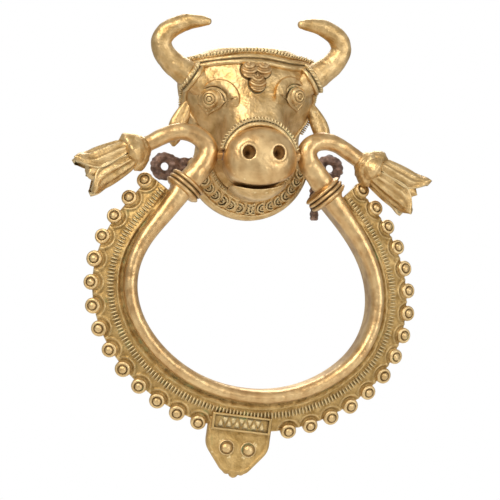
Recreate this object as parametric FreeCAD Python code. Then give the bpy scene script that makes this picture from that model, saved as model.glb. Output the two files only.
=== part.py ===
import FreeCAD, Part
import math
import os
from FreeCAD import Rotation, Vector

# Door knocker: a hollow cast bull's head that is fixed flat to the door, and a horseshoe ring that
# swings on a level pin through the muzzle.
# Frame, in millimetres: X to the viewer's right, Z up, the door's face is the plane Y = 0 and the
# knocker stands out towards -Y. The origin is midway between the two fixing holes.

os.makedirs("parts", exist_ok=True)

# ---- head ----
skull_width = 72.0
skull_depth = 25.0
skull_top = 60.0
cheek_bottom = 4.0
nose_width = 36.0
nose_depth = 38.0
shell_wall = 3.5
band_relief = 1.7
band_height = 7.5
band_drop = 11.0
jewel_relief = 2.4
jewel_lean = 26.0

# ---- muzzle ----
muzzle_width = 35.0
muzzle_height = 30.4
muzzle_reach = 47.5
muzzle_level = 1.4
nostril_r = 3.2
nostril_spread = 14.6
jaw_drop = 17.6
jaw_top = 11.5
jaw_width = 31.0
jaw_reach = 43.0
noseband_r = 20.3
noseband_cord_r = 2.0

# ---- bib: the round skirt under the jaw ----
bib_r = 32.3
bib_level = 5.0
bib_rim = 4.5
bib_edge = 1.2
throat_r = 20.5
throat_y = 14.5
throat_cord_r = 1.5
bib_band_relief = 1.2
bib_top = 3.0
scroll_count = 11
scroll_pitch = 12.2
scroll_r = 2.7
scroll_bore_r = 1.6

# ---- eyes, horns, ears ----
eye_inset = 14.0
eye_level = 33.8
eye_r = 6.0
brow_reach = 10.5
brow_proud = 7.5
brow_height = 5.6
brow_slant = 12.0
horn_root_r = 6.8
horn_tip_r = 2.4
horn_cord_r = 1.9
ear_length = 22.0
ear_width = 8.6
ear_thick = 3.0
ear_top = 31.5

# ---- fixings to the door ----
fixing_spacing = 86.0
fixing_hole_r = 2.2
fixing_eye_r = 7.2
fixing_thick = 3.4
fixing_strap = 9.0
strap_inner = 24.0
tail_r = 2.3
tail_end = 27.0
left_tail_lean = 5.5
rivet_r = 1.6
rivet_x = 28.0

# ---- pivot ----
pivot_y = -30.0
pivot_z = 4.0
pin_r = 2.5
pin_play = 0.06
pin_half = 23.4
pin_end_gap = 0.4
boss_r = 3.6
boss_gap = 0.3

# ---- ring ----
opening_width = 115.5
opening_drop = 115.0
grip_shift = -1.7
grip_width = 6.5
grip_root_width = 10.4
grip_front = 8.3
grip_back = 7.0
flange_width = 14.7
flange_thick = 3.0
flange_slope = 20.0
flange_front = -2.0
flange_start = 3.5
bead_offset = 15.3
bead_r = 3.4
bead_height = 5.0
bead_start = 7.0
beads_left = 14
beads_right = 15
hatch_offset = 4.1
hatch_width = 4.4
hatch_relief = 0.7
collar_r = 10.2
collar_length = 7.0
rod_r = 5.0

# ---- flower buds ----
calyx_length = 9.0
calyx_r = 9.4
bud_length = 33.0
bud_throat_r = 9.6
bud_mouth_r = 13.0
petal_wall = 1.8
petal_count = 5

# ---- pendant: the striker at the ring's foot ----
pendant_skew = 8.0
pendant_x = -8.3
pendant_width = 32.0
pendant_shoulder = 13.0
pendant_length = 26.0
pendant_thick = 5.0
pendant_toe = 11.0
pendant_gap = 2.6
foot_bend = 1.08
plaque_width = 29.0
plaque_height = 8.2
plaque_thick = 2.2
stud_spacing = 10.9
stud_drop = 12.6
stud_r = 3.5


def save(name, shape):
    shape.exportStep("parts/" + name + ".step")


def smooth_curve(points):
    curve = Part.BSplineCurve()
    curve.interpolate(points)
    return curve


def closed_curve(points):
    curve = Part.BSplineCurve()
    curve.interpolate(points, PeriodicFlag=True)
    return Part.Wire(curve.toShape())


def loft(wires):
    return Part.makeLoft(wires, True, False, False)


def polygon(points):
    return Part.makePolygon(list(points) + [points[0]])


def ball(centre, radius):
    return Part.makeSphere(radius, centre)


def rod(start, end, radius):
    return Part.makeCylinder(radius, (end - start).Length, start, end - start)


def turned(profile, origin, axis):
    """A solid of revolution: (radius, height) pairs, turned about axis and set at origin."""
    face = Part.Face(polygon([Vector(r, 0, h) for r, h in profile]))
    solid = face.revolve(Vector(0, 0, 0), Vector(0, 0, 1), 360)
    solid.rotate(Vector(0, 0, 0), *axis_angle(axis))
    solid.translate(origin)
    return solid


def half_disc(radius):
    steps = 12
    rim = [math.pi * (step / steps - 0.5) for step in range(steps + 1)]
    return [(abs(radius * math.cos(turn)) if 0 < index < steps else 0.0, radius * math.sin(turn))
            for index, turn in enumerate(rim)]


def axis_angle(axis):
    turn = Rotation(Vector(0, 0, 1), axis)
    return turn.Axis, math.degrees(turn.Angle)


def mirrored(shape):
    return shape.mirror(Vector(0, 0, 0), Vector(1, 0, 0))


def biggest(shape):
    return max(shape.Solids, key=lambda solid: solid.Volume)


# ---------------------------------------------------------------- head shell
# (height share between the cheeks' foot and the crown, width share, depth share)
skull_stations = [
    (0.00, 0.78, 0.52), (0.13, 0.76, 0.60), (0.24, 0.79, 0.70), (0.34, 0.87, 0.84), (0.46, 0.94, 0.96),
    (0.60, 1.00, 1.00), (0.74, 1.00, 0.98), (0.86, 0.95, 0.84), (0.94, 0.85, 0.64), (1.00, 0.62, 0.36),
]
nose_stations = [
    (0.06, 0.90, 1.00), (0.20, 0.94, 0.98), (0.36, 1.00, 0.91), (0.50, 1.10, 0.83), (0.66, 1.24, 0.76),
    (0.80, 1.30, 0.67), (0.91, 1.20, 0.50),
]

oval_steps = 8


def half_oval(level, half_width, depth):
    """A level section: half an oval bulging towards the viewer, closed along the door's plane."""
    arc = []
    for step in range(oval_steps + 1):
        turn = math.pi * (step / oval_steps - 0.5)
        arc.append(Vector(half_width * math.sin(turn), -depth * math.cos(turn), level))
    return Part.Wire([smooth_curve(arc).toShape(), Part.makeLine(arc[-1], arc[0])])


def stacked(stations, width, depth, grow):
    wires = []
    for level, wide, deep in stations:
        z = cheek_bottom + level * (skull_top - cheek_bottom)
        wires.append(half_oval(z, 0.5 * width * wide + grow, depth * deep + grow))
    return loft(wires)


bib_slope = math.atan2(throat_y - bib_rim - bib_edge, bib_r - bib_edge - throat_r)


def bib_height(radius):
    """How far the skirt's sloping face stands off the door at a radius from the bib's centre."""
    return bib_rim + bib_edge + (bib_r - bib_edge - radius) * math.tan(bib_slope)


def bib_form(grow):
    """The skirt: a shallow cone about the muzzle's line, cut off level above the bib's centre."""
    profile = [
        (0.0, 0.0), (bib_r + grow, 0.0), (bib_r + grow, bib_rim),
        (bib_r - bib_edge + grow, bib_rim + bib_edge + grow),
        (throat_r + grow, throat_y + grow), (0.83 * throat_r + grow, 1.5 * throat_y + grow),
        (0.0, 1.5 * throat_y + grow),
    ]
    form = turned(profile, Vector(0, 0, bib_level), Vector(0, -1, 0))
    below = Part.makeBox(200, 100, 100, Vector(-100, -80, bib_level + bib_top + grow - 100))
    return form.common(below)


def head_form(grow):
    skull = stacked(skull_stations, skull_width, skull_depth, grow)
    nose = stacked(nose_stations, nose_width, nose_depth, grow)
    return skull.fuse(nose)


def muzzle_form():
    """The muzzle: ovals standing along -Y, fullest just behind the flat nose disc."""
    stations = [(0.30, 0.86, 0.90), (0.48, 0.88, 0.92), (0.64, 0.95, 0.97), (0.80, 1.00, 1.00),
                (0.92, 0.96, 0.96), (0.975, 0.84, 0.84), (1.00, 0.62, 0.62)]
    wires = []
    for reach, wide, high in stations:
        points = []
        for step in range(16):
            turn = math.radians(22.5 * step)
            x = 0.5 * muzzle_width * wide * math.cos(turn)
            z = muzzle_level + 0.5 * muzzle_height * high * math.sin(turn)
            points.append(Vector(x, -muzzle_reach * reach, z))
        wires.append(closed_curve(points))
    return loft(wires)


pin_start = Vector(-pin_half, pivot_y, pivot_z)
pin_end = Vector(pin_half, pivot_y, pivot_z)
pivot_pin = rod(pin_start, pin_end, pin_r)

muzzle_solid = muzzle_form()
muzzle = muzzle_solid.cut(pivot_pin)
for side in (-1, 1):
    mouth_of_nostril = Vector(side * nostril_spread / 2, -muzzle_reach - 1, muzzle_level + 2.8)
    muzzle = muzzle.cut(rod(mouth_of_nostril, mouth_of_nostril + Vector(-side * 1.5, 7, 1), nostril_r))

head_outer = head_form(0)
bib_outer = bib_form(0)
under_crown = Part.makeBox(200, 100, 200, Vector(-100, -99.99, skull_top - 1.4 * shell_wall - 200))
hollow_past_door = 0.01
hollow = head_form(-shell_wall).fuse(bib_form(-shell_wall))
hollow.translate(Vector(0, hollow_past_door, 0))
hollow = hollow.common(under_crown)

# iron straps lie behind the skirt, so its rim is notched for them
strap_length = fixing_spacing / 2 - strap_inner
straps = []
eyes_of_iron = []
for side in (-1, 1):
    centre = Vector(side * fixing_spacing / 2, 0, 0)
    disc = rod(centre, centre - Vector(0, fixing_thick, 0), fixing_eye_r)
    strap_start = strap_inner if side > 0 else -strap_inner - strap_length
    strap_low = Vector(strap_start, -fixing_thick, -fixing_strap / 2)
    strap = Part.makeBox(strap_length, fixing_thick, fixing_strap, strap_low)
    lean = 0.0 if side > 0 else left_tail_lean
    bend = Vector(side * (bib_r + tail_r + 0.4 + 0.2 * lean), -tail_r, -fixing_strap / 2 - 3.0)
    tip = Vector(bend.x + side * lean, -tail_r, -tail_end + tail_r)
    tail = rod(Vector(side * (bib_r + tail_r + 1.5), -tail_r, 0), bend, tail_r)
    tail = tail.fuse([ball(bend, tail_r), rod(bend, tip, tail_r), ball(tip, tail_r)])
    straps.append(strap)
    forged = disc.fuse([strap, tail])
    depth = fixing_thick + tail_r
    forged = forged.common(Part.makeBox(200, depth, 200, Vector(-100, -depth, -100)))
    hole_start = centre + Vector(0, 1, 0)
    eyes_of_iron.append(forged.cut(rod(hole_start, hole_start - Vector(0, 9, 0), fixing_hole_r)))

rivets = []
for side in (-1, 1):
    foot = Vector(side * rivet_x, 0, 0)
    seat = bib_height(math.hypot(rivet_x, bib_level))
    shank = rod(foot, foot - Vector(0, seat, 0), rivet_r)
    head_of_rivet = Part.makeCone(2.8, 1.6, 2.4, foot - Vector(0, seat - 0.6, 0), Vector(0, -1, 0))
    rivets.append(shank.fuse(head_of_rivet))
rivet_group = Part.makeCompound(rivets)

head_shell = head_outer.fuse(bib_outer).cut(hollow)
head_shell = head_shell.cut(muzzle_solid)
for strap in straps:
    head_shell = head_shell.cut(strap)
head_shell = biggest(head_shell.cut(rivet_group))
eyes_of_iron = [iron.cut(rivet_group).cut(head_shell) for iron in eyes_of_iron]

# ---------------------------------------------------------------- jaw and bands on the head
jaw_height = 0.5 * (jaw_drop + jaw_top)
jaw_wires = []
for reach, share in ((0.34, 0.86), (0.62, 0.97), (0.86, 1.0), (0.97, 0.88), (1.0, 0.66)):
    oval = Part.Ellipse(Vector(0, 0, 0), 0.5 * jaw_width * share, jaw_height * share).toShape()
    oval.rotate(Vector(0, 0, 0), Vector(1, 0, 0), 90)
    oval.translate(Vector(0, -jaw_reach * reach, -jaw_drop + jaw_height))
    jaw_wires.append(Part.Wire(oval))
lower_jaw = biggest(loft(jaw_wires).cut(muzzle_solid).cut(head_shell).cut(hollow))

crown_low = skull_top - band_drop
crown_slab = Part.makeBox(200, 100, band_height, Vector(-100, -100, crown_low))
head_proud = head_form(band_relief)
crown_band = head_proud.common(crown_slab).cut(head_outer)


def cord_arc(radius, thickness, centre, first, last):
    """A round cord bent about a line along Y; the angles run from +X towards +Z."""
    ring = Part.makeTorus(radius, thickness, Vector(0, 0, 0), Vector(0, 0, 1), 0, 360, last - first)
    ring.rotate(Vector(0, 0, 0), Vector(0, 0, 1), first)
    ring.rotate(Vector(0, 0, 0), Vector(1, 0, 0), 90)
    ring.translate(centre)
    return ring


noseband_seat = Vector(0, -35.5, muzzle_level)
noseband = cord_arc(noseband_r, noseband_cord_r, noseband_seat, 38, 142)
noseband = biggest(noseband.cut(head_outer).cut(muzzle_solid))

throat_seat = Vector(0, -throat_y - 0.3, bib_level)
throat_band = cord_arc(throat_r, throat_cord_r, throat_seat, 192, 348)
throat_band = biggest(throat_band.cut(head_shell).cut(muzzle_solid).cut(lower_jaw))

# a band round the skirt, between the throat cord and the plain rim
band_inner = throat_r + throat_cord_r + 0.8
band_outer = bib_r - 2.9
band_profile = [(band_inner, bib_height(band_inner)), (band_inner, bib_height(band_inner) + bib_band_relief),
                (band_outer, bib_height(band_outer) + bib_band_relief), (band_outer, bib_height(band_outer))]
bib_collar = turned(band_profile, Vector(0, 0, bib_level), Vector(0, -1, 0))
bib_collar = bib_collar.common(Part.makeBox(200, 100, 100, Vector(-100, -80, bib_level - 2 * bib_top - 100)))
bib_collar = biggest(bib_collar.cut(rivet_group).cut(head_shell))
band_middle = 0.5 * (band_inner + band_outer)
scrolls = []
for count in range(scroll_count):
    turn = math.radians(270 + (count - (scroll_count - 1) / 2) * scroll_pitch)
    out = Vector(math.cos(turn), 0, math.sin(turn))
    normal = out * math.sin(bib_slope) + Vector(0, -math.cos(bib_slope), 0)
    seat = Vector(0, -bib_height(band_middle) - bib_band_relief, bib_level) + out * band_middle
    scroll = rod(seat - normal * 0.4, seat + normal * 0.9, scroll_r)
    scroll = scroll.cut(rod(seat - normal, seat + normal * 2, scroll_bore_r))
    scrolls.append(biggest(scroll.cut(bib_collar)))
bib_scrolls = Part.makeCompound(scrolls)

# ---------------------------------------------------------------- brows, eyes, jewel, straps
eye_seat = Vector(skull_width / 2 - eye_inset, -skull_depth * 0.70, eye_level)
eye_ball = turned(half_disc(eye_r), eye_seat, Vector(0.35, -1, 0.1))
eye_right = biggest(eye_ball.cut(head_outer))
brow = ball(Vector(0, 0, 0), 1.0)
swell = FreeCAD.Matrix()
swell.scale(brow_reach, brow_proud, brow_height)
brow = brow.transformGeometry(swell)
brow.rotate(Vector(0, 0, 0), Vector(0, 1, 0), brow_slant)
brow.translate(eye_seat + Vector(-1.0, 0.3, 7.2))
brow_right = biggest(brow.cut(head_outer).cut(eye_ball).cut(crown_band))
eyes = [mirrored(eye_right), eye_right]
brows = [mirrored(brow_right), brow_right]

# the jewel leans back with the forehead; its lobes are (across, up, radius)
jewel_seat = Vector(0, -nose_depth * 0.745, crown_low - 6.4)
lobes = []
for x, z, radius in ((-3.7, 2.6, 3.4), (3.7, 2.6, 3.4), (0.0, -3.2, 3.8), (0.0, 1.0, 3.2)):
    lobe = rod(Vector(x, 6, z), Vector(x, -jewel_relief, z), radius)
    lobe.rotate(Vector(0, 0, 0), Vector(1, 0, 0), -jewel_lean)
    lobe.translate(jewel_seat)
    lobes.append(lobe)
forehead_jewel = lobes[0].fuse(lobes[1:])
forehead_jewel = biggest(forehead_jewel.cut(head_outer).cut(crown_band))

# (share of half the skull's width, height)
strap_outline = [(0.883, 40.0), (0.972, 37.5), (0.653, 20.5), (0.569, 22.0)]
outline = [Vector(x * skull_width / 2, -90, z) for x, z in strap_outline]
prism = Part.Face(polygon(outline)).extrude(Vector(0, 87, 0))
bridle_right = biggest(head_proud.common(prism).cut(head_outer).cut(eye_right).cut(brow_right))
bridle_straps = [mirrored(bridle_right), bridle_right]

# ---------------------------------------------------------------- horns and their cords
# the horn's own line for the right horn: out of the skull, outward, up and back in to the tip
horn_line = [
    (0.415, -13.0, 44.4), (0.51, -13.4, 48.0), (0.60, -14.0, 52.6), (0.648, -14.8, 58.8),
    (0.625, -15.8, 64.4), (0.56, -17.0, 68.6), (0.47, -18.3, 71.0), (0.40, -19.2, 71.4),
    (0.355, -19.8, 71.0),
]
horn_shares = [1.0, 1.0, 0.88, 0.80, 0.73, 0.68, 0.60, 0.48, 0.0]


def horn_form():
    points = [Vector(x * skull_width, y, z) for x, y, z in horn_line]
    curve = smooth_curve(points)
    wires = []
    for point, share in zip(points, horn_shares):
        tangent = Vector(curve.tangent(curve.parameter(point))[0])
        across = tangent.cross(Vector(0, 1, 0)).normalize()
        upright = across.cross(tangent).normalize()
        radius = max(horn_tip_r, horn_root_r * share)
        rim = []
        for step in range(12):
            turn = math.radians(30 * step)
            rim.append(point + across * (radius * math.cos(turn)) + upright * (radius * math.sin(turn)))
        wires.append(closed_curve(rim))
    return loft(wires).fuse(ball(points[-1], horn_tip_r * 0.98)), points[1], (points[1] - points[0])


horn_raw, socket_seat, socket_axis = horn_form()
horn_right = biggest(horn_raw.cut(head_outer))
socket = Part.makeTorus(horn_root_r + 0.9, horn_cord_r, Vector(0, 0, 0), Vector(0, 0, 1))
socket.rotate(Vector(0, 0, 0), *axis_angle(socket_axis))
socket.translate(socket_seat - socket_axis.normalize() * 1.6)
socket_right = biggest(socket.cut(head_outer).cut(horn_right).cut(crown_band).cut(brow_right))
horns = [mirrored(horn_right), horn_right]
crown_band = biggest(crown_band.cut(horns[0]).cut(horns[1]))
sockets = [mirrored(socket_right), socket_right]

# ---------------------------------------------------------------- ears
# (share of the ear's length, share of half the skull's width, share of the ear's width)
ear_wires = []
for share, out, width in ((0.0, 0.894, 0.40), (0.18, 0.944, 0.85), (0.42, 1.0, 1.0), (0.70, 1.044, 0.82),
                          (0.90, 1.072, 0.42), (1.0, 1.081, 0.10)):
    thick = min(0.5 * ear_thick, 0.48 * ear_width * width)
    oval = Part.Ellipse(Vector(0, 0, 0), 0.5 * ear_width * width, thick).toShape()
    oval.translate(Vector(out * skull_width / 2, -7.5, ear_top - share * ear_length))
    ear_wires.append(Part.Wire(oval))
ear_right = biggest(loft(ear_wires).cut(head_outer))
ears = [mirrored(ear_right), ear_right]

# ---------------------------------------------------------------- grip and flange of the ring
# inner edge of the grip from the left collar round to the right one: shares of half the
# opening's width and of its drop below the pivot
grip_outline = [
    (-0.568, 0.187), (-0.732, 0.283), (-0.905, 0.391), (-1.000, 0.513), (-0.983, 0.643), (-0.836, 0.783),
    (-0.559, 0.909), (-0.178, 0.989), (0.237, 1.000), (0.618, 0.935), (0.895, 0.809), (0.999, 0.643),
    (0.947, 0.483), (0.774, 0.330), (0.592, 0.217),
]
grip_curve = smooth_curve([
    Vector(grip_shift + x * opening_width / 2, pivot_y, pivot_z - z * opening_drop) for x, z in grip_outline
])
grip_length = grip_curve.length()


def grip_station(distance):
    """Point on the inner edge, outward normal and forward tangent at a distance along it."""
    parameter = grip_curve.parameterAtDistance(distance, grip_curve.FirstParameter)
    tangent = Vector(grip_curve.tangent(parameter)[0])
    return grip_curve.value(parameter), Vector(tangent.z, 0, -tangent.x), tangent


def grip_width_at(distance):
    share = abs(2 * distance / grip_length - 1)
    return grip_width + (grip_root_width - grip_width) * share ** 5


def offset_point(distance, out, depth):
    point, normal, tangent = grip_station(distance)
    return point + normal * out + Vector(0, depth, 0)


station_count = 27


def spread(first, last):
    return [first + (last - first) * count / (station_count - 1) for count in range(station_count)]


grip_wires = []
flange_wires = []
hatch_wires = []
slope = math.tan(math.radians(flange_slope))
for distance in spread(0, grip_length):
    wide = grip_width_at(distance)
    inner_back = offset_point(distance, 0, grip_back)
    inner_front = offset_point(distance, 0, -grip_front + 2.4)
    crest = offset_point(distance, 0.42 * wide, -grip_front)
    outer_front = offset_point(distance, wide, -grip_front + 4.2)
    outer_back = offset_point(distance, wide, grip_back)
    grip_wires.append(Part.Wire([
        Part.makeLine(inner_back, inner_front), Part.Arc(inner_front, crest, outer_front).toShape(),
        Part.makeLine(outer_front, outer_back), Part.makeLine(outer_back, inner_back),
    ]))
for distance in spread(flange_start, grip_length - flange_start):
    wide = grip_width_at(distance) + 0.02
    reach = flange_width + grip_width - wide
    rise = reach * slope
    flange_wires.append(polygon([
        offset_point(distance, wide, flange_front), offset_point(distance, wide + reach, flange_front + rise),
        offset_point(distance, wide + reach, flange_front + rise + flange_thick),
        offset_point(distance, wide, flange_front + flange_thick),
    ]))
for distance in spread(2 * flange_start, grip_length - 2 * flange_start):
    wide = grip_width_at(distance) + 0.02
    first = hatch_offset + grip_width - wide
    face = flange_front + first * slope
    rise = hatch_width * slope
    low = hatch_offset + grip_width
    hatch_wires.append(polygon([
        offset_point(distance, low, face), offset_point(distance, low, face - hatch_relief),
        offset_point(distance, low + hatch_width, face + rise - hatch_relief),
        offset_point(distance, low + hatch_width, face + rise),
    ]))
ring_grip = loft(grip_wires)
flange = loft(flange_wires).cut(ring_grip)
hatch_band = loft(hatch_wires).cut(flange)

# ---------------------------------------------------------------- pendant
pendant_level = pivot_z - opening_drop - grip_width - 10.5
pendant_top = Vector(pendant_x, pivot_y, pendant_level)


def pendant_place(shape):
    shape.rotate(Vector(0, 0, 0), Vector(0, 1, 0), pendant_skew)
    shape.translate(pendant_top)
    return shape


pendant_front = 1.6
half = pendant_width / 2
toe = pendant_toe / 2
shield_foot = 1.5 - pendant_length
shield_outline = [(-half, 0), (-half, -pendant_shoulder), (-toe, shield_foot), (toe, shield_foot),
                  (half, -pendant_shoulder), (half, 0)]
shield_face = Part.Face(polygon([Vector(x, pendant_front, z) for x, z in shield_outline]))
shield = shield_face.extrude(Vector(0, pendant_thick, 0))
knob_seat = Vector(0, pendant_front + pendant_thick / 2, -pendant_length + 1.0)
shield = shield.fuse(ball(knob_seat, 2.5))
pendant_solid = pendant_place(shield)
plaque_low = Vector(-plaque_width / 2, pendant_front - plaque_thick, -plaque_height / 2)
plaque = pendant_place(Part.makeBox(plaque_width, plaque_thick, plaque_height, plaque_low))
flange = flange.cut(plaque)
pendant = biggest(pendant_solid.cut(flange))
hatch_band = hatch_band.cut(plaque)

stud_profile = [(0, 0), (stud_r, 0), (stud_r, 0.9), (stud_r - 0.7, 0.9), (stud_r - 0.9, 0.4), (2.1, 0.4),
                (1.8, 1.5), (1.0, 2.0), (0, 2.2)]
studs = []
for side in (-1, 1):
    seat = Vector(side * stud_spacing / 2, pendant_front, -stud_drop)
    studs.append(pendant_place(turned(stud_profile, seat, Vector(0, -1, 0))))
pendant_studs = Part.makeCompound(studs)

# ---------------------------------------------------------------- beads on the flange's edge
bead_line = grip_width + bead_offset


def bead_distances(first, last, count):
    """Places along the inner edge that give equal steps along the line of the beads."""
    samples = 120
    marks = [first + (last - first) * step / samples for step in range(samples + 1)]
    line = [offset_point(mark, bead_line, 0) for mark in marks]
    run = [0.0]
    for before, after in zip(line, line[1:]):
        run.append(run[-1] + (after - before).Length)
    places = []
    for number in range(count):
        target = run[-1] * number / (count - 1)
        step = min(range(samples + 1), key=lambda index: abs(run[index] - target))
        places.append(marks[step])
    return places


# the beads stop short of the pendant; its half width shrinks when it is carried in to the inner
# edge, and grows again by foot_bend because the ring bends less at its foot than on the whole
pendant_distance = grip_curve.length(grip_curve.FirstParameter, grip_curve.parameter(pendant_top))
inner_share = opening_width / (opening_width + 2 * bead_line)
pendant_clear = (pendant_width / 2 + bead_r + pendant_gap) * inner_share * foot_bend
left_places = bead_distances(bead_start, pendant_distance - pendant_clear, beads_left)
right_places = bead_distances(grip_length - bead_start, pendant_distance + pendant_clear, beads_right)
bead_profile = [(0, 0), (bead_r, 0), (bead_r, bead_height - 0.7), (bead_r - 0.5, bead_height),
                (bead_r - 1.1, bead_height - 0.6), (1.9, bead_height - 0.6), (1.6, bead_height + 0.5),
                (0.9, bead_height + 1.0), (0, bead_height + 1.15)]
beads = []
pockets = []
for distance in left_places + right_places:
    point, normal, tangent = grip_station(distance)
    lift = math.radians(flange_slope)
    face_normal = Vector(0, -math.cos(lift), 0) + normal * math.sin(lift)
    front = flange_front + (bead_line - grip_width) * slope
    foot = point + normal * bead_line + Vector(0, front, 0) - face_normal * (flange_thick + 0.6)
    beads.append(turned(bead_profile, foot, face_normal))
    pockets.append(rod(foot - face_normal * 3, foot + face_normal * 9, bead_r))
ring_flange = flange.cut(Part.makeCompound(pockets))
ring_beads = Part.makeCompound(beads)

# ---------------------------------------------------------------- collars, hooks and buds
# hook centre lines, as (x, z) from the pivot: past the muzzle's side, over and out to the bud
hook_side = pin_half + 1.0
arm = opening_width / 2
# the muzzle is a little narrower at the pin than at its fullest
muzzle_side = 0.98 * muzzle_width / 2
hook_lines = {
    "left": [(-hook_side + 0.5, -1.6), (-hook_side, 9.0), (-0.57 * arm, 11.6), (-0.77 * arm, 10.2),
             (-0.944 * arm, 4.6)],
    "right": [(hook_side - 0.7, -0.8), (hook_side, 7.4), (0.6 * arm, 7.2), (0.72 * arm, 4.4),
              (0.871 * arm, -0.8)],
}


def bent_rod(points, radius):
    """A round rod: straight runs joined by arcs as large as the runs allow."""
    edges = []
    here = points[0]
    for before, corner, after in zip(points, points[1:], points[2:]):
        back = (before - corner).normalize()
        ahead = (after - corner).normalize()
        turn = math.pi - back.getAngle(ahead)
        run = 0.45 * min((before - corner).Length, (after - corner).Length)
        bend = run / math.tan(turn / 2)
        middle = corner + (back + ahead).normalize() * (bend / math.cos(turn / 2) - bend)
        edges.append(Part.makeLine(here, corner + back * run))
        edges.append(Part.Arc(corner + back * run, middle, corner + ahead * run).toShape())
        here = corner + ahead * run
    edges.append(Part.makeLine(here, points[-1]))
    path = Part.Wire(edges)
    start = (points[1] - points[0]).normalize()
    profile = Part.Wire(Part.makeCircle(radius, points[0], start))
    return path.makePipeShell([profile], True, False)


ridge = collar_length / 3
collar_profile = [(0, 0), (collar_r - 0.9, 0)]
for number in range(3):
    base = number * ridge
    collar_profile += [(collar_r - 0.9, base + 0.1 * ridge), (collar_r, base + 0.35 * ridge),
                       (collar_r, base + 0.65 * ridge), (collar_r - 0.9, base + 0.9 * ridge)]
collar_profile += [(collar_r - 0.9, collar_length), (0, collar_length)]

calyx_profile = [(0, 0), (rod_r, 0), (rod_r + 1.2, 0.8), (calyx_r - 1.2, 2.6), (calyx_r, 5.0),
                 (calyx_r - 0.2, 7.4), (bud_throat_r - 1.2, calyx_length), (0, calyx_length)]
flower_profile = [(0, calyx_length), (bud_throat_r - 1.2, calyx_length), (bud_throat_r, 0.52 * bud_length),
                  (bud_mouth_r - 1.5, 0.80 * bud_length), (bud_mouth_r, 0.96 * bud_length),
                  (bud_mouth_r - 0.4, bud_length), (bud_mouth_r - petal_wall, 0.97 * bud_length),
                  (bud_throat_r - petal_wall, 0.60 * bud_length), (0, 0.55 * bud_length)]
stamen_profile = [(0, 0.56 * bud_length), (3.2, 0.58 * bud_length), (6.2, 0.72 * bud_length),
                  (6.6, 0.85 * bud_length), (5.0, 0.98 * bud_length), (2.4, bud_length + 2.0),
                  (0, bud_length + 2.3)]

collars = {}
hooks = {}
calyxes = {}
flowers = {}
stamens = {}
for name, distance, way in (("left", 0.0, -1), ("right", grip_length, 1)):
    point, normal, tangent = grip_station(distance)
    axis = tangent * way
    collar_foot = point + normal * (grip_width_at(distance) / 2)
    collars[name] = turned(collar_profile, collar_foot, axis)
    collar_head = collar_foot + axis * collar_length
    line = [collar_head - axis * 1.5]
    line += [Vector(x, pivot_y, pivot_z + z) for x, z in hook_lines[name]]
    hook = bent_rod(line, rod_r)
    boss_start = Vector(way * (muzzle_side + boss_gap), pivot_y, pivot_z)
    boss_end = Vector(way * (pin_half + pin_end_gap), pivot_y, pivot_z)
    hook = hook.fuse(rod(boss_start, boss_end, boss_r))
    hook = hook.cut(rod(Vector(0, pivot_y, pivot_z), boss_end, pin_r + pin_play))
    hooks[name] = biggest(hook.cut(collars[name]))
    bud_axis = (line[-1] - line[-2]).normalize()
    calyxes[name] = biggest(turned(calyx_profile, line[-1], bud_axis).cut(ring_beads))
    flower = turned(flower_profile, line[-1], bud_axis)
    side_way = bud_axis.cross(Vector(0, 1, 0)).normalize()
    for petal in range(petal_count):
        turn = 2 * math.pi * (petal + 0.5) / petal_count
        out = side_way * math.cos(turn) + bud_axis.cross(side_way) * math.sin(turn)
        notch = line[-1] + bud_axis * (bud_length + 0.8) + out * bud_mouth_r
        flower = flower.cut(ball(notch, 3.6))
    flowers[name] = biggest(flower.cut(ring_beads))
    stamens[name] = turned(stamen_profile, line[-1], bud_axis).cut(flowers[name])

# ---------------------------------------------------------------- write the pieces
save("head_shell", head_shell)
save("muzzle", biggest(muzzle))
save("lower_jaw", lower_jaw)
save("crown_band", crown_band)
save("forehead_jewel", forehead_jewel)
save("noseband", noseband)
save("throat_band", throat_band)
save("bib_collar", bib_collar)
save("bib_scrolls", bib_scrolls)
save("pivot_pin", pivot_pin)
save("fixing_rivets", rivet_group)
for number, side_name in enumerate(("left", "right")):
    save("horn_" + side_name, horns[number])
    save("horn_socket_" + side_name, sockets[number])
    save("ear_" + side_name, ears[number])
    save("eye_" + side_name, eyes[number])
    save("brow_" + side_name, brows[number])
    save("bridle_strap_" + side_name, bridle_straps[number])
    save("fixing_eye_" + side_name, eyes_of_iron[number])
    save("collar_" + side_name, collars[side_name])
    save("hook_" + side_name, hooks[side_name])
    save("calyx_" + side_name, calyxes[side_name])
    save("flower_" + side_name, flowers[side_name])
    save("stamen_" + side_name, biggest(stamens[side_name]))
save("ring_grip", ring_grip)
save("ring_flange", ring_flange)
save("hatch_band", hatch_band)
save("ring_beads", ring_beads)
save("pendant", pendant)
save("pendant_plaque", plaque)
save("pendant_studs", pendant_studs)
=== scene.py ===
import math
import bmesh
import bpy
import numpy as np
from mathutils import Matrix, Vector, noise


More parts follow.
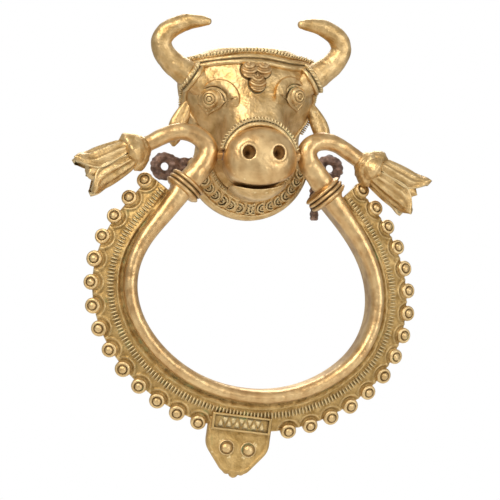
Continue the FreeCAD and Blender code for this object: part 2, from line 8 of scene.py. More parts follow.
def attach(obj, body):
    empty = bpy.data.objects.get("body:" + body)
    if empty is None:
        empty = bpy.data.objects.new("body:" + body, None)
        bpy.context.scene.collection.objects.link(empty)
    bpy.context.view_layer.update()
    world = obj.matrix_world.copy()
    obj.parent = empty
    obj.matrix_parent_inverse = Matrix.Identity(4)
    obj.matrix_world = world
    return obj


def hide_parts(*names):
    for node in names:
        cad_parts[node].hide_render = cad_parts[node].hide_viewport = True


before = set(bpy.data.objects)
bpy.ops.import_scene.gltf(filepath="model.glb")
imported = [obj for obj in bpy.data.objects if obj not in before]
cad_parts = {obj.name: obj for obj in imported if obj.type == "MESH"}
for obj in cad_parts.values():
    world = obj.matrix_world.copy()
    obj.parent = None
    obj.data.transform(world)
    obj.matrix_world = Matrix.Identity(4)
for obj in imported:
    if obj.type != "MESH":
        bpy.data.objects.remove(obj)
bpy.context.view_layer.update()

# ---------------------------------------------------------------- the door side and the light
# The knocker hangs as on a door, its flat back on the plane Y = 0 and its face towards -Y.
# A pale floor lies well below it and big soft lamps stand in front, as in a plain studio.
EYE_DISTANCE = 0.700
EYE_TURN, EYE_RISE = math.radians(-10.5), math.radians(-1.0)
look_at = Vector((-0.00214, -0.020, -0.04257))
away = Vector((math.sin(EYE_TURN) * math.cos(EYE_RISE), -math.cos(EYE_TURN) * math.cos(EYE_RISE),
               math.sin(EYE_RISE)))
camera = bpy.data.objects.new("camera", bpy.data.cameras.new("camera"))
bpy.context.collection.objects.link(camera)
camera.data.sensor_width = 36.0
camera.data.lens = 100.8
camera.location = look_at + away * EYE_DISTANCE
camera.rotation_mode = "QUATERNION"
camera.rotation_quaternion = (-away).to_track_quat("-Z", "Y")
bpy.context.scene.camera = camera
bpy.context.scene.view_settings.view_transform = "Standard"


def linear(colour):
    """An sRGB hex colour as linear red, green, blue and alpha."""
    parts = [int(colour[start:start + 2], 16) / 255 for start in (1, 3, 5)]
    return tuple(part / 12.92 if part <= 0.04045 else ((part + 0.055) / 1.055) ** 2.4
                 for part in parts) + (1.0,)


def add_node(tree, kind, links=(), **settings):
    """A node with its settings; links are (input name or number, output socket or plain value)."""
    made = tree.nodes.new(kind)
    for name, value in settings.items():
        setattr(made, name, value)
    for place, source in links:
        if isinstance(source, bpy.types.NodeSocket):
            tree.links.new(source, made.inputs[place])
        else:
            made.inputs[place].default_value = source
    return made


def soft_lamp(name, place, size, watts, colour):
    lamp = bpy.data.objects.new(name, bpy.data.lights.new(name, "AREA"))
    bpy.context.collection.objects.link(lamp)
    lamp.data.shape = "DISK"
    lamp.data.size = size
    lamp.data.energy = watts
    lamp.data.color = linear(colour)[:3]
    lamp.location = place
    lamp.rotation_euler = (look_at - Vector(place)).to_track_quat("-Z", "Y").to_euler()


soft_lamp("lamp_left_high", (-0.55, -0.75, 0.60), 0.60, 7.0, "#FFF8EE")
soft_lamp("lamp_front_right", (0.60, -0.85, 0.10), 0.60, 3.0, "#FFFFFF")
soft_lamp("lamp_behind", (0.10, 0.60, 0.55), 0.50, 3.0, "#F4F8FF")

studio = bpy.data.worlds.new("studio")
bpy.context.scene.world = studio
studio.use_nodes = True
studio.node_tree.nodes.clear()
which_ray = add_node(studio.node_tree, "ShaderNodeLightPath")
sky_way = add_node(studio.node_tree, "ShaderNodeTexCoord")
sky_parts = add_node(studio.node_tree, "ShaderNodeSeparateXYZ", [(0, sky_way.outputs["Generated"])])
sky_tone = add_node(studio.node_tree, "ShaderNodeValToRGB", [(0, add_node(
    studio.node_tree, "ShaderNodeMapRange", [(0, sky_parts.outputs["Z"]), (1, -1.0), (2, 1.0)]).outputs[0])])
sky_tone.color_ramp.elements[0].color = (0.38, 0.37, 0.36, 1)
sky_tone.color_ramp.elements[1].color = (0.90, 0.90, 0.90, 1)
glow = add_node(studio.node_tree, "ShaderNodeBackground", [(0, sky_tone.outputs[0]), (1, 0.72)])
plain = add_node(studio.node_tree, "ShaderNodeBackground", [(0, (1.0, 1.0, 1.0, 1)), (1, 1.0)])
both = add_node(studio.node_tree, "ShaderNodeMixShader", [
    (0, which_ray.outputs["Is Camera Ray"]), (1, glow.outputs[0]), (2, plain.outputs[0])])
add_node(studio.node_tree, "ShaderNodeOutputWorld", [(0, both.outputs[0])])

FLOOR_LEVEL, FLOOR_HALF, FLOOR_BACK = -0.27, 0.6, 0.42
floor_mesh = bpy.data.meshes.new("studio_floor")
floor_mesh.from_pydata([
    (-FLOOR_HALF, -FLOOR_HALF, FLOOR_LEVEL), (FLOOR_HALF, -FLOOR_HALF, FLOOR_LEVEL),
    (FLOOR_HALF, FLOOR_BACK, FLOOR_LEVEL), (-FLOOR_HALF, FLOOR_BACK, FLOOR_LEVEL)], [], [(0, 1, 2, 3)])
studio_floor = bpy.data.objects.new("studio_floor", floor_mesh)
bpy.context.collection.objects.link(studio_floor)
floor_paint = bpy.data.materials.new("pale_floor_paint")
floor_paint.use_nodes = True
floor_paint.node_tree.nodes["Principled BSDF"].inputs["Base Color"].default_value = linear("#EDECEA")
floor_paint.node_tree.nodes["Principled BSDF"].inputs["Roughness"].default_value = 0.9
floor_mesh.materials.append(floor_paint)

# ---------------------------------------------------------------- the brass, as cast and as handled
# Lost-wax brass, a warm yellow metal with a pebbled skin from the clay mould and brown and a little
# green in its hollows; the brown there is partly patina and partly painted shade. There are three: as
# cast, rubbed bright by hands, and dull on the flange. A dark copy, made the same way, is a painted shadow
# round the forehead jewel.
MM = 0.001


def empty_metal(name):
    """A material with nothing in its tree, the tree, and the object's own coordinates."""
    metal = bpy.data.materials.new(name)
    metal.use_nodes = True
    metal.node_tree.nodes.clear()
    return metal, metal.node_tree, add_node(metal.node_tree, "ShaderNodeTexCoord").outputs["Object"]


def clouds_of(tree, place, size_mm, detail, roughness=0.5):
    return add_node(tree, "ShaderNodeTexNoise", [
        ("Vector", place), ("Scale", 1 / (size_mm * MM)), ("Detail", detail),
        ("Roughness", roughness)]).outputs["Fac"]


def spread(tree, value, low, high, to_low=0.0, to_high=1.0):
    """The value carried from one range to another and held at the ends."""
    return add_node(tree, "ShaderNodeMapRange", [
        (0, value), (1, low), (2, high), (3, to_low), (4, to_high)]).outputs[0]


def computed(tree, operation, *values, clamp=True):
    return add_node(tree, "ShaderNodeMath", list(enumerate(values)), operation=operation,
                    use_clamp=clamp).outputs[0]


def mixed(tree, share, one, other):
    """A colour that turns into another by share."""
    return add_node(tree, "ShaderNodeMix", [(0, share), (6, one), (7, linear(other))],
                    data_type="RGBA").outputs[2]


def two_tones(tree, share, positions, colours):
    ramp = add_node(tree, "ShaderNodeValToRGB", [(0, share)])
    for end, position, colour in zip(ramp.color_ramp.elements, positions, colours):
        end.position, end.color = position, linear(colour)
    return ramp.outputs[0]


def bumped(tree, strength, depth_mm, height, under=None):
    """Bumps up to depth_mm deep, laid over another skin where there is one."""
    links = [("Strength", strength), ("Distance", depth_mm * MM), ("Height", height)]
    return add_node(tree, "ShaderNodeBump", links + ([("Normal", under)] if under else [])).outputs[0]


def finish_metal(tree, colour, metallic, rough, skin):
    shader = add_node(tree, "ShaderNodeBsdfPrincipled", [
        ("Base Color", colour), ("Metallic", metallic), ("Roughness", rough), ("Normal", skin)])
    add_node(tree, "ShaderNodeOutputMaterial", [(0, shader.outputs[0])])


def aged_brass(name, bright, middle, dark, patina_and_shade, roughness, grain_mm, grain_depth, lump_depth,
               patina_and_shade_amount, green):
    metal, tree, place = empty_metal(name)
    # tone in clouds of 14 mm and lumps of 4.5 mm, and the mould's pebbling and pits
    clouds = clouds_of(tree, place, 14, 5.0, 0.62)
    pebbles = clouds_of(tree, place, grain_mm, 4.0, 0.6)
    lumps = clouds_of(tree, place, 4.5, 2.0)
    pits = add_node(tree, "ShaderNodeTexVoronoi",
                    [("Vector", place), ("Scale", 1 / (3.2 * MM)), ("Randomness", 1.0)])
    mottle = computed(tree, "ADD", clouds, lumps, clamp=False)
    tone = two_tones(tree, computed(tree, "MULTIPLY", mottle, 0.5, clamp=False), (0.38, 0.60),
                     (middle, bright))
    # brown where the metal is sheltered, found by ambient occlusion and concave places: in engraved lines,
    # under the bands, round the beads. This brown is partly patina and partly painted shade.
    shelter = add_node(tree, "ShaderNodeAmbientOcclusion", [("Distance", 3.6 * MM)], samples=8,
                       only_local=True)
    edge = add_node(tree, "ShaderNodeNewGeometry").outputs["Pointiness"]
    hollow = computed(tree, "MAXIMUM", spread(tree, shelter.outputs["AO"], 0.97, 0.50),
                      spread(tree, edge, 0.495, 0.42), clamp=False)
    held = computed(tree, "MULTIPLY", hollow, spread(tree, pebbles, 0.25, 0.7, 0.55, 1.15))
    amount = computed(tree, "MULTIPLY", held, patina_and_shade_amount)
    # the darkening by this mask is partly patina and partly painted shade
    half_brown = mixed(tree, amount, tone, dark)
    brown = mixed(tree, spread(tree, amount, 0.45, 1.0), half_brown, patina_and_shade)
    # verdigris only in a few sheltered places
    rare = spread(tree, clouds_of(tree, place, 9, 3.0), 0.60, 0.72, 0.0, green)
    coloured = mixed(tree, computed(tree, "MULTIPLY", rare, amount), brown, "#6E8E62")
    # worn edges shine a little brighter
    rubbed = mixed(tree, spread(tree, edge, 0.52, 0.60, 0.0, 0.55), coloured, "#FBE9B8")
    matt = spread(tree, clouds, 0.3, 0.7, roughness - 0.05, roughness + 0.06)
    rough = computed(tree, "MULTIPLY_ADD", amount, 0.28, matt)
    skin = bumped(tree, 0.9, lump_depth, lumps)
    skin = bumped(tree, 0.8, grain_depth, pebbles, skin)
    skin = bumped(tree, 0.4, 0.15, spread(tree, pits.outputs["Distance"], 0.0, 0.22), skin)
    finish_metal(tree, rubbed, spread(tree, amount, 0.0, 1.0, 1.0, 0.55), rough, skin)
    return metal


cast_brass = aged_brass("cast_brass_aged", "#E4C590", "#BD9A63", "#826637", "#3C2D16",
                        0.44, 1.1, 0.22, 0.9, 1.0, 0.9)
handled_brass = aged_brass("handled_brass_rubbed", "#E4C48F", "#C29B68", "#886638", "#4B3920",
                           0.40, 1.4, 0.09, 0.5, 0.9, 0.4)
# a dark copy of the brass, used only for the painted shadow round the forehead jewel
painted_shadow_brass = aged_brass("painted_shadow_brass_dark", "#6B5431", "#54411F", "#3B2D14", "#2A200F",
                           0.62, 1.1, 0.20, 0.5, 1.0, 0.5)
flange_brass = aged_brass("flange_brass_dull", "#D0B076", "#A98850", "#6F562A", "#352713",
                          0.50, 1.1, 0.28, 1.0, 1.0, 1.6)


# ---------------------------------------------------------------- head casting
# The bull's head and its round skirt are one hollow open-backed casting, with walls of 3.5 mm.
# It was modelled in wax: forehead, nose and skirt run into each other with soft joins.
def run_together(one, other, soft):
    """The smaller of two distances, with the corner between them filled to a soft join."""
    share = np.clip(0.5 + 0.5 * (other - one) / soft, 0, 1)
    return other + (one - other) * share - soft * share * (1 - share)


def cut_with(one, other, soft):
    return -run_together(-one, -other, soft)


def eased(where, knots, values):
    """Values on a smooth curve through the knots, by Catmull and Rom's tangents."""
    knots, values = np.array(knots, float), np.array(values, float)
    slopes = np.gradient(values, knots)
    spot = np.clip(np.searchsorted(knots, where) - 1, 0, len(knots) - 2)
    gap = knots[spot + 1] - knots[spot]
    t = np.clip((where - knots[spot]) / gap, 0, 1)
    return ((1 + 2 * t) * (1 - t) ** 2 * values[spot] + t * (1 - t) ** 2 * gap * slopes[spot]
            + t * t * (3 - 2 * t) * values[spot + 1] + t * t * (t - 1) * gap * slopes[spot + 1])


CHEEK_FOOT, CROWN = 4.0, 61.2
SKULL_WIDTH, SKULL_DEPTH = 72.0, 25.0
NOSE_WIDTH, NOSE_DEPTH = 37.0, 37.5
WALL = 3.5
skull_shares = [(0.00, 0.78, 0.52), (0.13, 0.76, 0.60), (0.24, 0.79, 0.70), (0.34, 0.87, 0.84),
                (0.46, 0.94, 0.96), (0.60, 1.00, 1.00), (0.74, 1.00, 0.98), (0.86, 0.95, 0.84),
                (0.94, 0.87, 0.66), (1.00, 0.76, 0.44)]
nose_shares = [(0.00, 0.96, 0.94), (0.20, 0.98, 0.90), (0.36, 1.02, 0.84), (0.50, 1.08, 0.77),
               (0.66, 1.18, 0.70), (0.80, 1.24, 0.62), (1.00, 1.10, 0.44)]
BIB_R, BIB_LEVEL, BIB_RIM, THROAT_R, THROAT_FRONT = 32.3, 5.0, 4.5, 20.5, 14.5


def oval_column(x, y, z, shares, width, depth, power):
    """Distance to a column of level ovals whose width and depth change with height."""
    levels = [CHEEK_FOOT + row[0] * (CROWN - CHEEK_FOOT) for row in shares]
    fine = np.linspace(levels[0], levels[-1], 90)
    half = np.interp(z, fine, eased(fine, levels, [0.5 * width * row[1] for row in shares]))
    deep = np.interp(z, fine, eased(fine, levels, [depth * row[2] for row in shares]))
    wide, far = np.abs(x) / half + 1e-6, np.abs(y) / deep + 1e-6
    ratio = (wide ** power + far ** power) ** (1 / power)
    slope = ratio ** (1 - power) * np.sqrt(
        (wide ** (power - 1) / half) ** 2 + (far ** (power - 1) / deep) ** 2)
    return (ratio - 1) / slope


def bib_cone(x, y, z):
    """The skirt: a round disc with a plain rim and a sloping face, cut off level under the cheeks."""
    out = np.sqrt(x ** 2 + (z - BIB_LEVEL) ** 2)
    slope = math.atan2(THROAT_FRONT - BIB_RIM - 1.2, BIB_R - 1.2 - THROAT_R)
    face = (out - BIB_R + 1.2) * math.sin(slope) + (-y - BIB_RIM - 1.2) * math.cos(slope)
    disc = cut_with(out - BIB_R, face, 1.6)
    disc = cut_with(disc, -y - 22.0, 1.0)
    return cut_with(disc, z - BIB_LEVEL - 3.0 + 0.4 * np.maximum(np.abs(x) - 20.0, 0.0), 3.0)


def head_skin(x, y, z):
    """Distance in millimetres to the head's bare outer skin, before its ornaments."""
    skull = oval_column(x, y, z, skull_shares, SKULL_WIDTH, SKULL_DEPTH, 2.0)
    nose = oval_column(x, y, z, nose_shares, NOSE_WIDTH, NOSE_DEPTH, 2.7)
    top = z - (CROWN - 0.8 - 4.2 * (np.abs(x) / 32.0) ** 2 - 0.05 * np.abs(y))
    skull = cut_with(skull, top, 3.0)
    nose = cut_with(cut_with(nose, top, 3.0), CHEEK_FOOT + 3.0 - z, 1.0)
    skull = cut_with(skull, CHEEK_FOOT - z, 1.0)
    head = run_together(skull, nose, 5.0)
    # the cheeks fall in between the eye and the corner of the mouth
    side = np.abs(x)
    head = head + 1.3 * np.exp(-((side - 23) / 5.5) ** 2 - ((z - 18) / 7.0) ** 2)
    return run_together(head, bib_cone(x, y, z), 2.0)


def head_hollow(x, y, z):
    inside = head_skin(x, y, z) + WALL
    return cut_with(inside, z - (CROWN - 1.4 * WALL), 1.0)


MUZZLE_LEVEL, MUZZLE_HALF, MUZZLE_HIGH = 1.4, 18.0, 16.0
MUZZLE_WIDEST, MUZZLE_FRONT, MUZZLE_ROOT = 36.0, 47.4, 14.0


def muzzle_skin(x, y, z):
    """The muzzle: a ball drawn out along -Y, with a slightly flattened front."""
    reach = -y
    front = np.clip((reach - MUZZLE_WIDEST) / 11.4, 0, 0.9999)
    behind = (MUZZLE_WIDEST - np.clip(reach, MUZZLE_ROOT, MUZZLE_WIDEST)) / 22
    swell = np.where(reach > MUZZLE_WIDEST, (1 - front ** 2.3) ** (1 / 2.3), 1 - 0.14 * behind ** 1.5)
    ratio = np.sqrt((x / MUZZLE_HALF) ** 2 + ((z - MUZZLE_LEVEL) / MUZZLE_HIGH) ** 2) + 1e-6
    ball = np.maximum((ratio - swell) * 15.6, reach - MUZZLE_FRONT)
    return np.maximum(ball, MUZZLE_ROOT - reach)


def head_wall(x, y, z):
    solid = cut_with(head_skin(x, y, z), -head_hollow(x, y, z), 0.6)
    for side in (-1, 1):
        # notches behind the skirt's rim for the iron straps
        notch = np.maximum(np.maximum(np.abs(z) - 4.7, side * -x + 22.5), -y - 3.6)
        solid = np.maximum(solid, -notch)
    return np.maximum(np.maximum(solid, -muzzle_skin(x, y, z) - 2.0), y)


def sculpted(name, form, low, high, step):
    """A closed mesh of the surface where form is nought: one point for each cell that it crosses."""
    axes = [np.arange(start, end + step, step) for start, end in zip(low, high)]
    field = form(*np.meshgrid(*axes, indexing="ij"))
    inside = field < 0
    shape = np.array(field.shape) - 1
    corners = [(a, b, c) for a in (0, 1) for b in (0, 1) for c in (0, 1)]

    def corner(values, offset):
        a, b, c = offset
        return values[a:a + shape[0], b:b + shape[1], c:c + shape[2]]

    count = sum(corner(inside, offset).astype(np.int8) for offset in corners)
    cells = np.argwhere((count > 0) & (count < 8))
    total, crossings = np.zeros((len(cells), 3)), np.zeros(len(cells))
    i, j, k = cells.T
    for one in corners:
        for axis in range(3):
            if one[axis]:
                continue
            other = tuple(1 if number == axis else one[number] for number in range(3))
            first = field[i + one[0], j + one[1], k + one[2]]
            second = field[i + other[0], j + other[1], k + other[2]]
            crosses = (first < 0) != (second < 0)
            share = np.where(crosses, first / np.where(crosses, first - second, 1), 0)
            spot = np.tile(np.array(one, float), (len(cells), 1))
            spot[:, axis] += share
            total += spot * crosses[:, None]
            crossings += crosses
    points = (cells + total / crossings[:, None]) * step + np.array(low)
    number = -np.ones(shape, int)
    number[i, j, k] = np.arange(len(cells))
    faces = []
    for axis in range(3):
        ahead = [slice(None)] * 3
        behind = [slice(None)] * 3
        ahead[axis], behind[axis] = slice(1, None), slice(None, -1)
        changes = np.argwhere(inside[tuple(ahead)] != inside[tuple(behind)])
        b, c = [other for other in range(3) if other != axis]
        changes = changes[(changes[:, b] > 0) & (changes[:, c] > 0) & (changes[:, b] < shape[b])
                          & (changes[:, c] < shape[c])]
        ring = []
        for db, dc in ((1, 1), (0, 1), (0, 0), (1, 0)):
            cell = changes.copy()
            cell[:, b] -= db
            cell[:, c] -= dc
            ring.append(number[tuple(cell.T)])
        ring = np.stack(ring, 1)
        outward = inside[tuple(changes.T)] != (axis == 1)
        faces.append(np.where(outward[:, None], ring, ring[:, ::-1]))
    faces = np.concatenate(faces)
    small = 0.08
    for _ in range(3):
        here = form(*points.T)
        slope = np.stack([form(*(points + small * np.eye(3)[axis]).T) - here for axis in range(3)], 1) / small
        move = here[:, None] * slope / np.maximum((slope ** 2).sum(1), 0.25)[:, None]
        points -= np.clip(move, -0.5 * step, 0.5 * step)
    return plain_mesh(name, points, faces)


def plain_mesh(name, points, faces):
    """A smooth-shaded mesh from points in millimetres and faces that all have as many corners."""
    mesh = bpy.data.meshes.new(name)
    faces = np.asarray(faces)
    mesh.vertices.add(len(points))
    mesh.vertices.foreach_set("co", (np.asarray(points, float) * MM).ravel())
    mesh.loops.add(faces.size)
    mesh.loops.foreach_set("vertex_index", faces.ravel())
    mesh.polygons.add(len(faces))
    mesh.polygons.foreach_set("loop_start", np.arange(0, faces.size, faces.shape[1]))
    mesh.update(calc_edges=True)
    mesh.polygons.foreach_set("use_smooth", np.ones(len(faces), bool))
    mesh.validate()
    return mesh


def fit_piece(name, mesh, body, slot, metal, *nodes):
    """Puts a finished mesh in the scene as a piece that rides on a body in place of CAD nodes."""
    piece = bpy.data.objects.new(name, mesh)
    bpy.context.collection.objects.link(piece)
    mesh.materials.clear()
    mesh.materials.append(metal)
    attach(piece, body)
    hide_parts(*nodes)
    return piece


head_mesh = sculpted("head_casting", head_wall, (-38, -41, -29), (38, 1, 61.5), 0.6)
fit_piece("head_casting", head_mesh, "head", "cast_brass", cast_brass, "head_shell")


# ---------------------------------------------------------------- brows, lids and eye sockets
# Each eye sits in a pad of wax laid on the head: a domed brow that bends round it, an incised upper
# lid, and a lower lid drawn down to a point. It was cast with the head and chased afterwards.
def on_skin(x, z, proud=0.0):
    """Depth of the head's skin at a place seen from the front, raised by proud."""
    near, far = np.full(np.shape(x), -60.0), np.full(np.shape(x), -0.5)
    for _ in range(34):
        middle = 0.5 * (near + far)
        outside = head_skin(x, middle, z) > proud
        near, far = np.where(outside, middle, near), np.where(outside, far, middle)
    return 0.5 * (near + far)


def skin_normal(x, y, z):
    here = head_skin(x, y, z)
    slope = np.stack([head_skin(x + 0.05, y, z) - here, head_skin(x, y + 0.05, z) - here,
                      head_skin(x, y, z + 0.05) - here], -1)
    return slope / np.linalg.norm(slope, axis=-1, keepdims=True)


def smooth_step(value, low, high):
    share = np.clip((value - low) / (high - low), 0, 1)
    return share * share * (3 - 2 * share)


def incised(distance, width, depth):
    return -depth * np.exp(-(distance / width) ** 2)


EYE_SPREAD = 22.3
eye_levels = {-1: 32.7, 1: 34.9}


def brow_form(side):
    def form(x, y, z):
        u, v = EYE_SPREAD - side * x, z - eye_levels[side]
        lid = np.hypot(u - 0.9, v + 0.8) - 6.2
        outer = np.hypot(u - 3.6, (v + 0.6) * 0.95) - 10.6
        drop = np.maximum(-0.77 * (u + 5.0) - 0.64 * (v + 3.6), 0.627 * (u + 0.6) - 0.779 * (v + 8.9))
        drop = np.maximum(drop, v + 1.0)
        tear = run_together(lid, drop, 1.0)
        above = smooth_step(v, -6.0, 0.5)
        thick = smooth_step(-outer, 0.0, 1.7) * smooth_step(lid, 0.0, 1.2)
        corner = 0.9 * np.exp(-((u - 9.0) ** 2 + (v - 1.0) ** 2) / 26.0) * smooth_step(lid, -0.4, 2.2)
        relief = (1.5 + 0.06 * u) * above * thick + corner
        relief = relief + 1.15 * smooth_step(-tear, 0.0, 1.3)
        ball = np.hypot(u, v)
        relief = relief + 0.55 * np.exp(-((ball - 5.0) / 0.42) ** 2) * smooth_step(v, -2.5, 0.0)
        relief = relief + incised(tear, 0.5, 1.05) + incised(outer + 0.4, 0.5, 0.45) * above
        relief = relief + incised(np.abs(drop + 1.9), 0.3, 0.30) * smooth_step(-v, 2.5, 4.0)
        outline = run_together(np.maximum(outer, -v - 5.0), tear, 0.8)
        skin = head_skin(x, y, z)
        pad = cut_with(skin + 0.25 - relief, outline, 0.7)
        return np.maximum(pad, -skin - 1.4)
    return form


for side, word in ((-1, "left"), (1, "right")):
    middle = side * (EYE_SPREAD - 3.4)
    low = (middle - 11.5, -37, eye_levels[side] - 11.5)
    high = (middle + 11.5, -8, eye_levels[side] + 11.5)
    brow_mesh = sculpted("brow_and_lids_" + word, brow_form(side), low, high, 0.3)
    fit_piece("brow_and_lids_" + word, brow_mesh, "head", "cast_brass", cast_brass, "brow_" + word)


# ---------------------------------------------------------------- eyeballs
# A shallow ball with a punched centre and two turned rings, set in each socket.
def turned_mesh(name, profile, seat, axis, sides, wobble=None):
    """A surface turned about axis from (radius, height) pairs that start and end on the axis."""
    axis = np.array(axis, float) / np.linalg.norm(axis)
    across = np.cross(axis, (0.0, 0.0, 1.0) if abs(axis[2]) < 0.9 else (1.0, 0.0, 0.0))
    across /= np.linalg.norm(across)
    upright = np.cross(axis, across)
    points, faces = [np.array(seat) + axis * profile[0][1]], []
    for radius, height in profile[1:-1]:
        for step in range(sides):
            turn = 2 * math.pi * step / sides
            far = radius if wobble is None else wobble(radius, height, turn)
            points.append(
                np.array(seat) + axis * height + (across * math.cos(turn) + upright * math.sin(turn)) * far)
    points.append(np.array(seat) + axis * profile[-1][1])
    rows = len(profile) - 2
    for step in range(sides):
        after = (step + 1) % sides
        faces.append((0, 1 + after, 1 + step))
        faces.append((len(points) - 1, 1 + (rows - 1) * sides + step, 1 + (rows - 1) * sides + after))
        for row in range(rows - 1):
            a, b = 1 + row * sides + step, 1 + row * sides + after
            faces.append((a, b, b + sides))
            faces.append((a, b + sides, a + sides))
    return plain_mesh(name, np.array(points), faces)


def facing_out(mesh):
    """Turns the faces of a closed mesh outwards."""
    work = bmesh.new()
    work.from_mesh(mesh)
    bmesh.ops.recalc_face_normals(work, faces=work.faces)
    work.to_mesh(mesh)
    work.free()
    return mesh


def eye_profile():
    rows = [(0.0, -2.0), (4.5, -2.0)]
    for step in range(60):
        radius = 4.6 * (1 - step / 60)
        height = 2.5 * math.sqrt(max(0.0, 1 - (radius / 4.7) ** 2))
        for ring in (1.35, 2.9):
            height -= 0.42 * math.exp(-((radius - ring) / 0.24) ** 2)
        rows.append((radius, height))
    rows.append((0.0, 2.5))
    return rows


for side, word in ((-1, "left"), (1, "right")):
    x, z = side * EYE_SPREAD, eye_levels[side]
    seat = np.array([x, float(on_skin(np.array(x), np.array(z), 0.7)), z])
    eye_axis = skin_normal(*seat) * 0.8 + np.array((0, -0.35, 0))
    eye_mesh = facing_out(turned_mesh("eyeball_" + word, eye_profile(), seat, eye_axis, 48))
    fit_piece("eyeball_" + word, eye_mesh, "head", "cast_brass", cast_brass, "eye_" + word)


# ---------------------------------------------------------------- crown band
# Two smooth fillets and a plaited cord laid round the top of the forehead, from horn to horn.
# The cord is a row of small twisted pellets; everything was laid on in wax before casting.
def smooth_line(points, step):
    """Points a step apart on a smooth curve through the given ones."""
    points = np.array(points, float)
    run = np.concatenate([[0], np.cumsum(np.linalg.norm(np.diff(points, axis=0), axis=1))])
    count = len(points)
    matrix, right = np.zeros((count, count)), np.zeros((count, points.shape[1]))
    gaps = np.diff(run)
    matrix[0, 0] = matrix[-1, -1] = 1
    for row in range(1, count - 1):
        matrix[row, row - 1:row + 2] = gaps[row - 1], 2 * (gaps[row - 1] + gaps[row]), gaps[row]
        right[row] = 6 * ((points[row + 1] - points[row]) / gaps[row]
                          - (points[row] - points[row - 1]) / gaps[row - 1])
    bend = np.linalg.solve(matrix, right)
    fine = np.linspace(0, run[-1], 1500)
    spot = np.clip(np.searchsorted(run, fine) - 1, 0, count - 2)
    gap = gaps[spot][:, None]
    ahead, behind = (fine - run[spot])[:, None], (run[spot + 1] - fine)[:, None]
    line = ((bend[spot] * behind ** 3 + bend[spot + 1] * ahead ** 3) / (6 * gap)
            + (points[spot] / gap - bend[spot] * gap / 6) * behind
            + (points[spot + 1] / gap - bend[spot + 1] * gap / 6) * ahead)
    length = np.concatenate([[0], np.cumsum(np.linalg.norm(np.diff(line, axis=0), axis=1))])
    wanted = np.linspace(0, length[-1], max(3, int(length[-1] / step) + 1))
    return np.stack([np.interp(wanted, length, line[:, axis]) for axis in range(points.shape[1])], 1)


def laid_on_skin(places, step, proud):
    """A line on the head's skin through (x, z) places, and the skin's outward way along it."""
    flat = smooth_line(places, step)
    line = np.stack([flat[:, 0], on_skin(flat[:, 0], flat[:, 1], proud), flat[:, 1]], 1)
    return line, skin_normal(*line.T)


def strip_of(name, points, sides):
    """A closed solid through rows of as many points each, with flat ends."""
    quads = []
    for row in range(len(points) // sides - 1):
        for step in range(sides):
            a, b = row * sides + step, row * sides + (step + 1) % sides
            quads.append((a, b, b + sides, a + sides))
    mesh = plain_mesh(name, points, quads)
    work = bmesh.new()
    work.from_mesh(mesh)
    bmesh.ops.holes_fill(work, edges=[edge for edge in work.edges if edge.is_boundary], sides=0)
    bmesh.ops.recalc_face_normals(work, faces=work.faces)
    work.to_mesh(mesh)
    work.free()
    mesh.polygons.foreach_set("use_smooth", np.ones(len(mesh.polygons), bool))
    return mesh


def swept(name, line, outward, section, taper=None):
    """A closed solid: a section of (across, out) pairs carried along a line, with flat ends."""
    tangent = np.gradient(line, axis=0)
    tangent /= np.linalg.norm(tangent, axis=1, keepdims=True)
    out = outward - (outward * tangent).sum(1, keepdims=True) * tangent
    out /= np.linalg.norm(out, axis=1, keepdims=True)
    across = np.cross(tangent, out)
    rows = []
    for number, point in enumerate(line):
        size = 1.0 if taper is None else taper(number / (len(line) - 1))
        rows.append([point + (across[number] * a + out[number] * b) * size for a, b in section])
    return strip_of(name, np.array(rows).reshape(-1, 3), len(section))


def round_section(half, height, steps=12):
    return [(half * math.cos(2 * math.pi * step / steps), height * math.sin(2 * math.pi * step / steps))
            for step in range(steps)]


def joined(name, meshes):
    """Several meshes as one."""
    work = bmesh.new()
    for mesh in meshes:
        work.from_mesh(mesh)
    whole = bpy.data.meshes.new(name)
    work.to_mesh(whole)
    work.free()
    whole.polygons.foreach_set("use_smooth", np.ones(len(whole.polygons), bool))
    return whole


# one row of like pieces along a line: the line carries which way is out, and each piece is turned to it
row_tree = bpy.data.node_groups.new("row_along_a_line", "GeometryNodeTree")
for socket_name, kind in (("Geometry", "Geometry"), ("Bead", "Object"), ("Pitch", "Float"),
                          ("Twist", "Float"), ("Unevenness", "Float"), ("Metal", "Material")):
    row_tree.interface.new_socket(socket_name, in_out="INPUT", socket_type="NodeSocket" + kind)
row_tree.interface.new_socket("Geometry", in_out="OUTPUT", socket_type="NodeSocketGeometry")
given = add_node(row_tree, "NodeGroupInput")
curve = add_node(row_tree, "GeometryNodeMeshToCurve", [(0, given.outputs["Geometry"])])
spaced = add_node(row_tree, "GeometryNodeResampleCurve",
                  [("Curve", curve.outputs[0]), ("Length", given.outputs["Pitch"])],
                  mode="LENGTH")
out_way = add_node(row_tree, "GeometryNodeInputNamedAttribute", [("Name", "outward")],
                   data_type="FLOAT_VECTOR")
along = add_node(row_tree, "GeometryNodeInputTangent")
facing = add_node(row_tree, "FunctionNodeAxesToRotation", [(0, out_way.outputs[0]), (1, along.outputs[0])],
                  primary_axis="Z", secondary_axis="X")
spin = add_node(row_tree, "FunctionNodeAxisAngleToRotation",
                [("Axis", (0.0, 0.0, 1.0)), ("Angle", given.outputs["Twist"])])
turned_to = add_node(row_tree, "FunctionNodeRotateRotation", [(0, facing.outputs[0]), (1, spin.outputs[0])],
                     rotation_space="LOCAL")
smaller = add_node(row_tree, "ShaderNodeMath", [(0, 1.0), (1, given.outputs["Unevenness"])],
                   operation="SUBTRACT")
bigger = add_node(row_tree, "ShaderNodeMath", [(0, 1.0), (1, given.outputs["Unevenness"])], operation="ADD")
size = add_node(row_tree, "FunctionNodeRandomValue", [("Seed", 7)], data_type="FLOAT")
row_tree.links.new(smaller.outputs[0], size.inputs[2])
row_tree.links.new(bigger.outputs[0], size.inputs[3])
